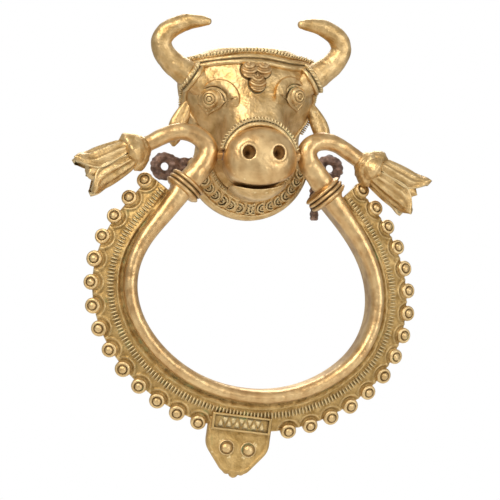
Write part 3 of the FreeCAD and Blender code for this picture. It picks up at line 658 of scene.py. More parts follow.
bead_info = add_node(row_tree, "GeometryNodeObjectInfo", [("Object", given.outputs["Bead"])])
strung = add_node(row_tree, "GeometryNodeInstanceOnPoints", [
    ("Points", spaced.outputs[0]), ("Instance", bead_info.outputs["Geometry"]),
    ("Rotation", turned_to.outputs[0]),
    ("Scale", size.outputs[1])])
solid = add_node(row_tree, "GeometryNodeRealizeInstances", [(0, strung.outputs[0])])
clad = add_node(row_tree, "GeometryNodeSetMaterial",
                [(0, solid.outputs[0]), ("Material", given.outputs["Metal"])])
add_node(row_tree, "NodeGroupOutput", [(0, clad.outputs[0])])


def row_along(name, line, outward, bead_mesh, pitch, twist=0.0, uneven=0.0):
    """A plain mesh of beads a pitch apart on a line, each facing outward and turned by twist."""
    thread = bpy.data.meshes.new(name + "_line")
    thread.from_pydata((np.asarray(line) * MM).tolist(), [(n, n + 1) for n in range(len(line) - 1)], [])
    ways = thread.attributes.new("outward", "FLOAT_VECTOR", "POINT")
    ways.data.foreach_set("vector", np.asarray(outward, float).ravel())
    carrier = bpy.data.objects.new(name + "_line", thread)
    bead = bpy.data.objects.new(name + "_bead", bead_mesh)
    for helper in (carrier, bead):
        bpy.context.collection.objects.link(helper)
    modifier = carrier.modifiers.new("row", "NODES")
    modifier.node_group = row_tree
    wanted = {"Bead": bead, "Pitch": pitch * MM, "Twist": twist, "Unevenness": uneven, "Metal": cast_brass}
    for socket in row_tree.interface.items_tree:
        if socket.in_out == "INPUT" and socket.name in wanted:
            modifier[socket.identifier] = wanted[socket.name]
    bpy.context.view_layer.update()
    made = bpy.data.meshes.new_from_object(carrier.evaluated_get(bpy.context.evaluated_depsgraph_get()))
    made.name = name
    made.polygons.foreach_set("use_smooth", np.ones(len(made.polygons), bool))
    for helper in (carrier, bead):
        bpy.data.objects.remove(helper)
    return made


def pellet(name, length, width, height, sink=0.4):
    """A rounded lozenge of metal, long along its own X, with its foot below the surface."""
    sections = []
    for share in (-1.0, -0.85, -0.45, 0.0, 0.45, 0.85, 1.0):
        size = max(0.05, math.sqrt(max(0.0, 1 - share ** 2 * 0.98)))
        for turn in (math.pi * step / 4 for step in range(8)):
            sections.append((share * length / 2, size * width / 2 * math.cos(turn),
                             size * height * math.sin(turn) - sink * height))
    return strip_of(name, np.array(sections), 8)


cord_places = [(-31.5, 53.4), (-26.9, 54.2), (-16.6, 55.6), (-6.9, 57.0), (0.2, 57.4), (9.7, 56.7),
               (19.8, 55.4),
               (29.3, 54.4), (32.5, 53.6)]
fillet_high = [(-30.6, 51.4), (-27.1, 52.0), (-17.0, 53.0), (-7.4, 54.0), (-0.4, 54.2), (9.3, 53.4),
               (19.4, 52.2),
               (29.1, 51.9), (31.5, 51.2)]
fillet_low = [(-28.6, 49.0), (-22.4, 50.2), (-17.1, 50.6), (-7.0, 51.0), (-0.7, 50.8), (7.4, 50.1),
              (14.6, 49.2),
              (20.3, 48.9), (28.4, 49.6)]
crown_meshes = []
for places, half, height in ((fillet_high, 1.25, 1.2), (fillet_low, 1.35, 1.5)):
    line, outward = laid_on_skin(places, 0.8, 0.2)
    crown_meshes.append(swept("crown_fillet", line, outward, round_section(half, height)))
fit_piece("crown_fillets", joined("crown_fillets", crown_meshes), "head", "cast_brass", cast_brass,
          "crown_band")
line, outward = laid_on_skin(cord_places, 0.8, 0.3)
plait = [swept("crown_cord_core", line, outward, round_section(1.2, 0.7))]
plait.append(row_along("crown_cord", line, outward, pellet("crown_pellet", 3.2, 1.5, 2.4, 0.15), 1.7, 0.9,
                       0.18))
fit_piece("crown_cord", joined("crown_cord", plait), "head", "cast_brass", cast_brass, "crown_band")

# ---------------------------------------------------------------- forehead jewel
# A trefoil pendant of the crown band: three overlapping petals with arcs cut in them.
JEWEL_X, JEWEL_LEVEL = -0.2, 43.6


def jewel_lobes(x, z):
    """Signed distance to the trefoil seen from the front, and the height of its arched petals."""
    u, v = x - JEWEL_X, z - JEWEL_LEVEL
    lobes = [(-3.7, 3.0, 3.9), (3.7, 3.2, 3.7), (0.2, -3.8, 4.1)]
    outline = np.full(np.shape(u), 99.0)
    relief = np.zeros(np.shape(u))
    for across, up, radius in lobes:
        far = np.hypot(u - across, (v - up) * 0.92)
        outline = np.minimum(outline, far - radius)
        dome = np.clip(1 - (far / (radius + 0.4)) ** 2, 0, 1)
        arcs = 0.50 * np.cos(2 * math.pi * (np.hypot(u - across, v - up - radius) / 2.7)) * (far < radius)
        relief = np.maximum(relief, 1.5 * np.sqrt(dome) + arcs * smooth_step(dome, 0.0, 0.25))
    neck = np.maximum(np.abs(u) - 2.6, np.abs(v - 2.5) - 4.0)
    return np.minimum(outline, neck), relief


def jewel_form(x, y, z):
    outline, relief = jewel_lobes(x, z)
    skin = head_skin(x, y, z)
    body = cut_with(skin - 2.2 - 1.2 * relief, outline, 0.3)
    return np.maximum(body, -skin - 0.8)


def jewel_painted_shadow_form(x, y, z):
    """A thin dark sheet that fills the angle round the jewel: a painted shadow."""
    outline, _ = jewel_lobes(x, z)
    skin = head_skin(x, y, z)
    return np.maximum(cut_with(skin - 0.35, outline - 0.75, 0.25), -skin - 0.5)


jewel_mesh = sculpted("forehead_jewel", jewel_form, (-9, -39, 35), (9, -18, 51), 0.28)
# the dark sheet round the jewel is a painted shadow in the angle between the jewel and the head
jewel_shadow_mesh = sculpted("jewel_painted_shadow", jewel_painted_shadow_form, (-10, -39, 34), (10, -18, 52), 0.32)
fit_piece("forehead_jewel_trefoil", jewel_mesh, "head", "cast_brass", handled_brass, "forehead_jewel")
fit_piece("forehead_jewel_bed", jewel_shadow_mesh, "head", "cast_brass", painted_shadow_brass, "forehead_jewel")

# ---------------------------------------------------------------- bridle straps
# From each end of the crown band a smooth fillet with a hatched edge runs down behind the eye to the
# corner of the mouth, as the halter's cheek strap.
strap_places = {
    -1: [(-28.2, 49.2), (-31.0, 46.3), (-32.6, 41.0), (-33.2, 35.0), (-32.2, 29.5), (-29.3, 24.2),
         (-25.6, 18.4), (-21.6, 12.2)],
    1: [(28.0, 49.8), (30.4, 46.4), (32.4, 41.2), (33.3, 35.4), (32.6, 30.0), (30.2, 24.4),
        (26.4, 18.9), (22.2, 12.8)],
}
for side, word in ((-1, "left"), (1, "right")):
    line, outward = laid_on_skin(strap_places[side], 0.8, 0.1)
    fillet = swept("strap_fillet", line, outward, round_section(1.0, 1.0), lambda share: 1.15 - 0.5 * share)
    outer_places = [(x + side * 2.3, z - 0.8) for x, z in strap_places[side][1:-1]]
    line, outward = laid_on_skin([(min(abs(x), 34.9) * side, z) for x, z in outer_places], 0.8, 0.0)
    hatch = row_along("strap_hatch", line, outward, pellet("strap_pellet", 0.85, 2.4, 1.0, 0.1), 1.15, 0.3,
                      0.15)
    fit_piece("bridle_" + word, joined("bridle_" + word, [fillet, hatch]), "head", "cast_brass", cast_brass,
              "bridle_strap_" + word)

# ---------------------------------------------------------------- horns and their cords
# The horns sweep out, up and in to blunt tips; each is cast on, and a plaited cord and a plain
# ring hide its root.
horn_places = {
    1: [(24.5, -12.0, 40.5), (31.5, -13.0, 45.0), (38.6, -13.6, 49.6), (44.6, -14.4, 55.6),
        (46.2, -15.2, 60.4),
        (44.0, -16.2, 65.2), (39.2, -17.2, 68.9), (33.4, -18.4, 70.9), (28.0, -19.3, 71.3),
        (24.4, -19.8, 71.2)],
    -1: [(-24.5, -12.0, 40.5), (-31.5, -13.0, 45.0), (-38.6, -13.6, 49.8), (-44.8, -14.4, 56.2),
         (-46.2, -15.2, 61.6),
         (-43.0, -16.2, 66.8), (-37.4, -17.2, 69.9), (-31.6, -18.4, 71.4), (-26.6, -19.3, 71.6),
         (-23.6, -19.8, 71.4)],
}
horn_radii = [(0, 7.2), (0.12, 6.9), (0.30, 6.0), (0.48, 5.3), (0.64, 4.9), (0.80, 4.2), (0.92, 3.1),
              (0.985, 2.3), (1.0, 2.0)]


def tapering_rod(name, points, radii, sides, rough=0.0):
    """A bent rod of changing thickness with rounded ends, a little uneven as hand-modelled wax is."""
    line = smooth_line(points, 0.9)
    tangent = np.gradient(line, axis=0)
    tangent /= np.linalg.norm(tangent, axis=1, keepdims=True)
    shares = np.linspace(0, 1, len(line))
    sizes = eased(shares, [row[0] for row in radii], [row[1] for row in radii])
    first, last = line[0], line[-1]
    start_rows = [(first - tangent[0] * sizes[0] * 0.8 * high, sizes[0] * math.sqrt(1 - high * high))
                  for high in (0.99, 0.9, 0.7, 0.4)]
    end_rows = [(last + tangent[-1] * sizes[-1] * high, sizes[-1] * math.sqrt(1 - high * high))
                for high in (0.3, 0.6, 0.8, 0.93, 0.99)]
    centres = [row[0] for row in start_rows] + list(line) + [row[0] for row in end_rows]
    widths = [row[1] for row in start_rows] + list(sizes) + [row[1] for row in end_rows]
    ways = [tangent[0]] * len(start_rows) + list(tangent) + [tangent[-1]] * len(end_rows)
    side_way = np.cross(ways[0], (0.0, 1.0, 0.0))
    points = []
    for centre, width, way in zip(centres, widths, ways):
        side_way = side_way - way * side_way.dot(way)
        side_way /= np.linalg.norm(side_way)
        other = np.cross(way, side_way)
        for step in range(sides):
            turn = 2 * math.pi * step / sides
            out = side_way * math.cos(turn) + other * math.sin(turn)
            spot = centre + out * width
            lump = noise.noise(Vector(spot * 0.16)) * rough + noise.noise(Vector(spot * 0.45)) * rough * 0.35
            points.append(spot + out * lump)
    return strip_of(name, np.array(points), sides)


def ring_about(seat, axis, radius, count=64, stretch=1.0):
    """A closed line round an axis and its outward ways."""
    axis = np.array(axis, float) / np.linalg.norm(axis)
    across = np.cross(axis, (0.0, 1.0, 0.0))
    across /= np.linalg.norm(across)
    other = np.cross(axis, across)
    turns = np.linspace(0, 2 * math.pi, count)
    out = np.cos(turns)[:, None] * across + np.sin(turns)[:, None] * other * stretch
    return np.array(seat) + out * radius, out / np.linalg.norm(out, axis=1, keepdims=True)


for side, word in ((-1, "left"), (1, "right")):
    horn_mesh = tapering_rod("horn_" + word, horn_places[side], horn_radii, 32, 0.35)
    fit_piece("horn_cast_" + word, horn_mesh, "head", "cast_brass", cast_brass, "horn_" + word)
    root, ahead = np.array(horn_places[side][1]), np.array(horn_places[side][2])
    axis = (ahead - root) / np.linalg.norm(ahead - root)
    cord_line, cord_out = ring_about(root + axis * 0.4, axis, 7.0)
    plait = row_along("socket_cord", cord_line, cord_out, pellet("socket_pellet", 3.0, 1.45, 2.1, 0.15), 1.7,
                      0.8, 0.15)
    core = swept("socket_core", cord_line, cord_out, round_section(1.3, 0.9))
    plain_line, plain_out = ring_about(root + axis * -2.3, axis, 7.3)
    ring = swept("socket_ring", plain_line, plain_out, round_section(1.2, 1.3))
    fit_piece("horn_socket_cord_" + word, joined("horn_socket_cord_" + word, [plait, core, ring]), "head",
              "cast_brass",
              cast_brass, "horn_socket_" + word)


# ---------------------------------------------------------------- ears
# Two small leaf-shaped ears hang behind the ring's arms, hollowed on the side that faces forward.
def ear_form(side):
    places = smooth_line([(31.0, 33.0), (33.6, 28.5), (36.2, 22.5), (38.2, 15.5), (39.0, 10.2)], 0.6)

    def form(x, y, z):
        share = np.clip((33.0 - z) / 22.8, 0, 1)
        middle = np.interp(-z, -places[:, 1], places[:, 0])
        half = np.interp(share, np.linspace(0, 1, 60),
                         eased(np.linspace(0, 1, 60), [0, 0.2, 0.45, 0.75, 0.93, 1.0],
                                                             [2.6, 3.8, 4.8, 4.0, 2.4, 1.0]))
        u, w = side * x - middle, y + 7.4
        leaf = (np.sqrt((u / half) ** 2 + (w / (half * 0.42 + 0.3)) ** 2) - 1) * half * 0.5
        leaf = cut_with(leaf, np.maximum(z - 33.6, 9.6 - z), 0.8)
        dish = (np.sqrt((u / (half * 0.55)) ** 2 + ((w + half * 0.42 + 1.3) / 1.5) ** 2) - 1) * 1.2
        return cut_with(leaf, -dish, 0.5)
    return form


for side, word in ((-1, "left"), (1, "right")):
    low, high = (26 if side > 0 else -44, -12, 8), (44 if side > 0 else -26, -3, 35)
    ear_mesh = sculpted("ear_" + word, ear_form(side), low, high, 0.4)
    fit_piece("ear_leaf_" + word, ear_mesh, "head", "cast_brass", cast_brass, "ear_" + word)

# ---------------------------------------------------------------- muzzle
# The muzzle is the boldest form of the casting: a ball rubbed bright by hands, with two deep nostrils
# in raised rims. The pivot pin passes through it from side to side.
NOSTRIL_SPREAD, NOSTRIL_LEVEL, NOSTRIL_R = 7.3, 4.2, 3.05
PIVOT_Y, PIVOT_Z, PIN_BORE_R = -30.0, 4.0, 2.56


def muzzle_form(x, y, z):
    ball = muzzle_skin(x, y, z)
    # the upper lip: the ball's underside is trimmed on a smiling curve
    lip = -(z + 11.6 - 0.0170 * (x + 1.5) ** 2 - 0.06 * (-y - 40.0))
    ball = cut_with(ball, lip, 1.6)
    for side in (-1, 1):
        far = np.hypot(x - side * NOSTRIL_SPREAD, (z - NOSTRIL_LEVEL) * 0.90)
        rim = 0.75 * np.exp(-((far - NOSTRIL_R - 0.75) / 0.62) ** 2) * smooth_step(-y, 36, 42)
        ball = ball - rim
        pit = np.hypot(far, 0.001) - NOSTRIL_R * smooth_step(-y, 38.5, 43.5)
        ball = cut_with(ball, -np.maximum(pit, y + 38.5), 0.5)
    pin = np.hypot(y - PIVOT_Y, z - PIVOT_Z) - PIN_BORE_R
    return np.maximum(np.maximum(ball, -pin), y + 16.0)


muzzle_mesh = sculpted("muzzle_casting", muzzle_form, (-19, -49, -16), (19, -15, 18.5), 0.4)
fit_piece("muzzle_casting", muzzle_mesh, "head", "cast_brass", handled_brass, "muzzle")


# ---------------------------------------------------------------- lower jaw
# The lower lip is a thin crescent that bellies out under the mouth slit.
def jaw_form(x, y, z):
    reach = -y
    front = np.clip((reach - 30.0) / 13.0, 0, 0.9999)
    swell = (1 - front ** 2.4) ** (1 / 2.4)
    ratio = np.sqrt(((x + 0.4) / 16.4) ** 2 + ((z + 3.6) / 14.8) ** 2) + 1e-6
    bowl = (ratio - swell) * 13.5
    mouth_top = z + 13.3 - 0.0175 * (x + 1.5) ** 2 - 0.06 * (reach - 40.0)
    bowl = cut_with(bowl, mouth_top, 0.8)
    inner = (np.sqrt(((x + 0.4) / 13.4) ** 2 + ((z + 2.8) / 11.2) ** 2) - swell * 0.96) * 11.0
    bowl = cut_with(bowl, -np.maximum(inner, 33.0 - reach), 0.8)
    return np.maximum(bowl, 13.5 - reach)


jaw_mesh = sculpted("lower_lip", jaw_form, (-17, -45, -19), (17, -12, -4), 0.4)
fit_piece("lower_lip_and_chin", jaw_mesh, "head", "cast_brass", cast_brass, "lower_jaw")

# ---------------------------------------------------------------- noseband
# A twisted cord with a plain fillet under it is laid over the nose, close behind the muzzle.
turns = np.radians(np.linspace(16, 164, 90))
cord_line = np.stack([19.2 * np.cos(turns), -33.4 - 1.6 * np.sin(turns), MUZZLE_LEVEL + 20.0 * np.sin(turns)],
                     1)
cord_out = np.stack([np.cos(turns) * 0.85, np.full(len(turns), -0.55), np.sin(turns) * 0.85], 1)
strands = row_along("nose_strands", cord_line, cord_out, pellet("nose_pellet", 1.15, 3.2, 2.0, 0.1), 1.6,
                    0.35, 0.10)
core = swept("nose_core", cord_line, cord_out, round_section(1.3, 0.9))
fillet_line = np.stack([17.5 * np.cos(turns), -35.6 - 1.0 * np.sin(turns),
                        MUZZLE_LEVEL + 17.4 * np.sin(turns)], 1)
fillet = swept("nose_fillet", fillet_line, cord_out, round_section(1.3, 1.2))
# a fillet of wax behind the cord fills the step down to the nose
saddle_line = np.stack([17.0 * np.cos(turns), -32.0 - 0.5 * np.sin(turns),
                        MUZZLE_LEVEL + 17.6 * np.sin(turns)], 1)
saddle = swept("nose_saddle", saddle_line, cord_out, round_section(3.2, 2.0, 16))
fit_piece("noseband_cord", joined("noseband_cord", [strands, core, fillet, saddle]), "head", "cast_brass",
          cast_brass,
          "noseband")


# ---------------------------------------------------------------- bib: throat cord, collar and scrolls
# Round the skirt run a hatched cord at the throat, a plain band, and a band of small scrolls between
# two cut lines, each scroll a nested pair of arcs that turns back to its neighbour.
def round_bib(radius, first, last, proud, step=0.8):
    """A line round the skirt's sloping face, from the angle first to last, measured from +X."""
    count = max(8, int(math.radians(abs(last - first)) * radius / step))
    angle = np.radians(np.linspace(first, last, count))
    x, z = radius * np.cos(angle), BIB_LEVEL + radius * np.sin(angle)
    line = np.stack([x, on_skin(x, z, proud), z], 1)
    return line, skin_normal(*line.T)


line, outward = round_bib(THROAT_R + 1.0, 192, 348, 0.2)
throat = [swept("throat_core", line, outward, round_section(1.0, 0.6)),
          row_along("throat_hatch", line, outward, pellet("throat_pellet", 0.9, 2.6, 1.3, 0.1), 1.25, 0.3,
                    0.1)]
fit_piece("throat_cord", joined("throat_cord", throat), "head", "cast_brass", cast_brass, "throat_band")
bands = []
for radius, half, height in ((22.6, 0.85, 0.9), (29.9, 0.75, 1.0)):
    line, outward = round_bib(radius, 190, 350, 0.1)
    bands.append(swept("bib_line", line, outward, round_section(half, height)))
fit_piece("bib_fillets", joined("bib_fillets", bands), "head", "cast_brass", cast_brass, "bib_collar")


def scroll_motif():
    """A pair of nested arcs with a small boss between them, the arcs opening along +X."""
    parts = []
    for radius, thick in ((3.0, 0.62), (1.45, 0.50)):
        angle = np.radians(np.linspace(82, 278, 19))
        line = np.stack([radius * np.cos(angle) + 0.9, radius * 1.02 * np.sin(angle), np.zeros(len(angle))],
                        1)
        parts.append(swept("arc", line, np.tile((0.0, 0.0, 1.0), (len(line), 1)),
                           round_section(thick, 1.35, 8)))
    parts.append(pellet("boss", 1.6, 1.1, 1.2, 0.0))
    return joined("scroll", parts)


scroll_rows = []
for first, last, twist in ((198, 268, math.pi), (272, 342, 0.0)):
    line, outward = round_bib(26.4, first, last, 0.0)
    scroll_rows.append(row_along("scrolls", line, outward, scroll_motif(), 4.4, twist, 0.06))
fit_piece("bib_scroll_band", joined("bib_scroll_band", scroll_rows), "head", "cast_brass", cast_brass,
          "bib_scrolls")


# ---------------------------------------------------------------- iron fixing eyes, rivets and pin
# The door fixings are wrought iron: a strap and an eye hammered out behind the skirt, with a tail
# turned down at the end, held by a rivet. The iron is brown with old rust and dull.
def wrought_iron():
    metal, tree, place = empty_metal("wrought_iron_rusted")
    # hammer marks about 4 mm across and a rust grain of 0.6 mm
    marks = clouds_of(tree, place, 4, 4.0)
    rust = clouds_of(tree, place, 0.6, 5.0, 0.7)
    tone = two_tones(tree, marks, (0.35, 0.65), ("#54423A", "#9C8072"))
    edge = add_node(tree, "ShaderNodeNewGeometry").outputs["Pointiness"]
    colour = mixed(tree, spread(tree, edge, 0.52, 0.62, 0.0, 0.6), tone, "#A98D72")
    grain = bumped(tree, 0.6, 0.12, rust, bumped(tree, 0.8, 0.5, marks))
    finish_metal(tree, colour, 0.55, spread(tree, rust, 0.3, 0.7, 0.42, 0.75), grain)
    return metal


iron = wrought_iron()
EYE_X = 43.0


def iron_form(side):
    def form(x, y, z):
        u = side * x
        lump = 0.6 * np.sin(0.9 * x + 1.3 * z) * np.sin(0.8 * z - 0.5 * x + 1.1 * y)
        lump = lump + 0.2 * np.sin(2.3 * x) * np.sin(1.9 * z + y)
        eye = np.hypot(np.hypot(u - EYE_X, z) - 4.5, (y + 2.1) * 1.1) - 2.7
        strap = np.maximum(np.maximum(np.abs(z) - 4.4, np.abs(y + 1.8) - 1.5), np.maximum(23.5 - u, u - 38.5))
        lean = 0.0 if side > 0 else 5.5
        knee, foot = 34.9 + 0.2 * lean, -24.9
        share = np.clip((-z - 3.0) / (-foot - 3.0), 0, 1)
        tail = np.hypot(u - knee - lean * share, y + 2.3) - 2.15
        ends = np.hypot(np.hypot(u - knee - lean, y + 2.3), np.minimum(z - foot, 0)) - 2.15
        tail = np.maximum(np.where(z < foot, ends, tail), z + 1.0)
        whole = run_together(run_together(eye, strap, 1.2), tail, 1.2)
        hole = np.hypot(u - EYE_X, z) - 2.0
        return np.maximum(np.maximum(whole + lump * 0.6, -hole), y)
    return form


for side, word in ((-1, "left"), (1, "right")):
    low, high = (22.5 if side > 0 else -51, -6, -28), (51 if side > 0 else -22.5, 1, 8.5)
    iron_mesh = sculpted("iron_eye_" + word, iron_form(side), low, high, 0.4)
    fit_piece("iron_eye_" + word, iron_mesh, "head", "forged_iron", iron, "fixing_eye_" + word)
for node_name in ("fixing_rivets", "pivot_pin"):
    node_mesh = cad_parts[node_name].data
    if not node_mesh.materials:
        node_mesh.materials.append(iron)
    for number in range(len(node_mesh.materials)):
        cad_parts[node_name].material_slots[number].material = iron

# ---------------------------------------------------------------- ring: the grip
# The ring is one heavy casting. Its inner side is the hand's grip: a bright rounded front that turns
# by a crisp edge into a flat inner wall, thicker towards the two ends.
GRIP_W, GRIP_ROOT_W, GRIP_FRONT, GRIP_BACK = 6.5, 10.4, 8.3, 7.0
grip_line = smooth_line([
    (-34.5, -17.5), (-43.97, -28.55), (-53.96, -40.97), (-59.45, -55.0), (-58.47, -69.95), (-49.98, -86.05),
    (-33.98, -100.54), (-11.98, -109.74), (11.99, -111.0), (33.99, -103.53), (49.99, -89.04), (55.99, -69.95),
    (52.99, -51.55), (43.0, -33.95), (32.49, -20.96)], 0.8)
grip_run = np.concatenate([[0], np.cumsum(np.linalg.norm(np.diff(grip_line, axis=0), axis=1))])
GRIP_LENGTH = grip_run[-1]
grip_tangent = np.gradient(grip_line, axis=0)
grip_tangent /= np.linalg.norm(grip_tangent, axis=1, keepdims=True)


def grip_place(distance, out, depth):
    """A point beside the grip: out from its inner edge, and depth from the plane of the ring."""
    distance = np.asarray(distance, float)
    x, z = (np.interp(distance, grip_run, grip_line[:, axis]) for axis in (0, 1))
    tx, tz = (np.interp(distance, grip_run, grip_tangent[:, axis]) for axis in (0, 1))
    size = np.hypot(tx, tz)
    return np.stack([x + out * tz / size, np.full(np.shape(x), PIVOT_Y) + depth, z - out * tx / size], -1)


def grip_width(distance):
    return GRIP_W + (GRIP_ROOT_W - GRIP_W) * np.abs(2 * distance / GRIP_LENGTH - 1) ** 5


def carried(name, distances, section):
    """A closed band along the grip; section gives (out, depth) pairs at each distance."""
    rows = [np.array([grip_place(distance, out, depth) for out,
                      depth in section(distance)]) for distance in distances]
    return strip_of(name, np.concatenate(rows), len(rows[0]))


def uneven(distance, seed, amount):
    return amount * noise.noise(Vector((distance * 0.07, seed, 0.0))) + 0.4 * amount * noise.noise(
        Vector((distance * 0.31, seed, 5.0)))


def grip_section(distance):
    wide = float(grip_width(distance))
    front = -GRIP_FRONT + uneven(distance, 1.0, 0.25)
    pairs = [(0.5, GRIP_BACK), (0.15, GRIP_BACK - 0.5), (0.0, GRIP_BACK - 1.2), (0.0, 2.0), (0.0, -1.5),
             (0.02, -3.2)]
    for step in range(13):
        # the rounded front, a little fuller on its inner side
        share = step / 12
        turn = math.pi * share
        pairs.append((wide * (0.5 - 0.5 * math.cos(turn)) ** 0.92,
                      -3.6 + (front + 3.6) * math.sin(turn) ** 0.75
                      - 0.5 * share))
    pairs += [(wide, -1.5), (wide, 2.0), (wide, GRIP_BACK - 1.2), (wide - 0.15, GRIP_BACK - 0.5),
              (wide - 0.5, GRIP_BACK)]
    return pairs


grip_mesh = carried("ring_grip", np.linspace(0, GRIP_LENGTH, 420), grip_section)
fit_piece("ring_grip_casting", grip_mesh, "ring", "handled_brass", handled_brass, "ring_grip")

# ---------------------------------------------------------------- ring: the flange
# A thin flange slopes back a little round the outside of the grip. It is left rough from the mould,
# with a groove beside the grip, and its edge swells round each bead.
FLANGE_W, FLANGE_THICK, FLANGE_FRONT = 14.7, 3.0, -2.0
FLANGE_LEAN = math.radians(20.0)
FLANGE_RISE = math.tan(FLANGE_LEAN)
BEAD_LINE, BEAD_END, PENDANT_GAP = 15.3, 7.0, 17.4
PENDANT_X, PENDANT_LEVEL = -8.3, -128.0
pendant_at = grip_run[np.argmin(np.hypot(grip_line[:, 0] - PENDANT_X - 1.2, grip_line[:, 1] - PENDANT_LEVEL))]


def evenly(first, last, count):
    """Distances that give equal steps along the line of the beads."""
    marks = np.linspace(first, last, 400)
    points = grip_place(marks, GRIP_W + BEAD_LINE, 0.0)
    run = np.concatenate([[0], np.cumsum(np.linalg.norm(np.diff(points, axis=0), axis=1))])
    return np.interp(np.linspace(0, run[-1], count), run, marks)


bead_places = np.concatenate([evenly(BEAD_END, pendant_at - PENDANT_GAP, 14),
                              evenly(GRIP_LENGTH - BEAD_END, pendant_at + PENDANT_GAP, 15)])
bead_spots = grip_place(bead_places, GRIP_W + BEAD_LINE, 0.0)


def flange_section(distance):
    wide = float(grip_width(distance))
    first = wide - 0.6
    last = GRIP_W + FLANGE_W
    pairs = []
    steps = 34
    for step in range(steps + 1):
        out = first + (last - first) * step / steps
        spot = grip_place(distance, out, 0.0)
        near = np.min(np.hypot(bead_spots[:, 0] - spot[0], bead_spots[:, 2] - spot[2]))
        depth = FLANGE_FRONT + (out - wide) * FLANGE_RISE
        # a raised web bends round the inner side of every bead
        depth -= 0.95 * math.exp(-((near - 5.6) / 0.55) ** 2) - 0.45 * math.exp(-((near - 4.6) / 0.5) ** 2)
        depth += 0.9 * math.exp(-((out - wide - 0.9) / 0.8) ** 2) * (1 if out > wide else 0.4)
        depth -= 0.45 * math.exp(-((out - GRIP_W - 3.1) / 0.5) ** 2)
        depth += 0.35 * noise.noise(Vector(spot * 0.35)) + 0.14 * noise.noise(Vector(spot * 1.1))
        if step == steps:
            depth += 0.6
        pairs.append((out, depth))
    for step in range(6):
        out = last - (last - first) * step / 5
        pairs.append((out,
                      FLANGE_FRONT + (out - wide) * FLANGE_RISE + FLANGE_THICK - (0.5 if step == 0 else 0.0)))
    return pairs


flange_mesh = carried("ring_flange", np.linspace(3.5, GRIP_LENGTH - 3.5, 520), flange_section)
fit_piece("ring_flange_casting", flange_mesh, "ring", "cast_brass", flange_brass, "ring_flange")

# ---------------------------------------------------------------- ring: the hatched band
# A row of short raised bars lies across the flange all round, about 2 mm from bar to bar.
HATCH_OUT, HATCH_W = 4.1, 4.4
hatch_run = np.linspace(6.0, GRIP_LENGTH - 6.0, 500)
hatch_middle = GRIP_W + HATCH_OUT + HATCH_W / 2
hatch_depth = FLANGE_FRONT + (HATCH_OUT + HATCH_W / 2 + GRIP_W - grip_width(hatch_run)) * FLANGE_RISE
hatch_line = grip_place(hatch_run, hatch_middle, hatch_depth)
outward_flat = grip_place(hatch_run, 1.0, 0.0) - grip_place(hatch_run, 0.0, 0.0)
hatch_out = outward_flat * math.sin(FLANGE_LEAN) + np.array((0.0, -math.cos(FLANGE_LEAN), 0.0))
hatch_mesh = row_along("hatched_band", hatch_line, hatch_out,
                       pellet("hatch_bar", 1.2, HATCH_W + 0.4, 1.6, 0.05), 1.75,
                       0.0, 0.10)
fit_piece("hatched_band", hatch_mesh, "ring", "cast_brass", flange_brass, "hatch_band")

# ---------------------------------------------------------------- ring: the beads
# Twenty-nine beads stand on the flange's edge, each a collar of metal round a small dome.
bead_profile = [(0, -3.4), (2.8, -3.4), (3.5, -2.8), (3.85, -1.8), (3.95, 0.2), (3.8, 0.9), (3.4, 1.4),
                (2.9, 1.6),
                (2.5, 1.5), (2.25, 1.2), (2.05, 1.1), (1.95, 1.4), (1.75, 1.9), (1.35, 2.3), (0.75, 2.55),
                (0, 2.65)]
bead_mesh = facing_out(turned_mesh("bead", bead_profile, (0.0, 0.0, 0.0), (0.0, 0.0, 1.0), 26))
bead_rows = []
for first, last in ((0, 14), (14, 29)):
    spots = grip_place(bead_places[first:last], GRIP_W + BEAD_LINE, FLANGE_FRONT + BEAD_LINE * FLANGE_RISE)
    flat = grip_place(bead_places[first:last], 1.0, 0.0) - grip_place(bead_places[first:last], 0.0, 0.0)
    ways = flat * math.sin(FLANGE_LEAN) + np.array((0.0, -math.cos(FLANGE_LEAN), 0.0))
    pitch = np.linalg.norm(np.diff(spots, axis=0), axis=1).mean()
    bead_rows.append(row_along("beads", spots, ways, bead_mesh, pitch * 0.9995, 0.0, 0.03))
fit_piece("edge_beads", joined("edge_beads", bead_rows), "ring", "cast_brass", cast_brass, "ring_beads")

# ---------------------------------------------------------------- pendant, plaque and studs
# The striker hangs under the ring: a shield with a raised edge, two studs like eyes, three knobs at
# its toe, and across its top a framed plaque filled with little triangles.
PENDANT_SKEW = math.radians(8.0)


def on_pendant(points):
    """From the pendant's own upright plane to its place on the ring."""
    points = np.asarray(points, float)
    x, y, z = points.T
    turned_x = x * math.cos(PENDANT_SKEW) + z * math.sin(PENDANT_SKEW)
    turned_z = -x * math.sin(PENDANT_SKEW) + z * math.cos(PENDANT_SKEW)
    return np.stack([turned_x + PENDANT_X, y + PIVOT_Y, turned_z + PENDANT_LEVEL], 1)


def pendant_form(x, y, z):
    """The shield in its own plane, y measured from the ring's plane."""
    side = np.abs(x)
    outline = np.maximum(side - 15.8, z - 2.0)
    slant = math.atan2(13.0, 10.5)
    outline = cut_with(outline, (side - 16.0) * math.sin(slant) + (-z - 12.4) * math.cos(slant), 2.2)
    outline = cut_with(outline, -z - 25.0, 2.0)
    slab = np.abs(y - 4.1) - 2.5
    edge = 0.5 * np.exp(-((outline + 1.3) / 0.8) ** 2) * (y < 4.1)
    shield = cut_with(slab - edge, outline, 1.0)
    for across, radius in ((0.0, 2.4), (-3.6, 1.7), (3.6, 1.7)):
        knob = np.sqrt((x - across) ** 2 + (y - 4.0) ** 2 + (z + 24.9 - abs(across) * 0.22) ** 2) - radius
        shield = run_together(shield, knob, 0.8)
    return shield


shield_mesh = sculpted("pendant_shield", pendant_form, (-17.5, 0, -28.5), (17.5, 8, 3), 0.4)


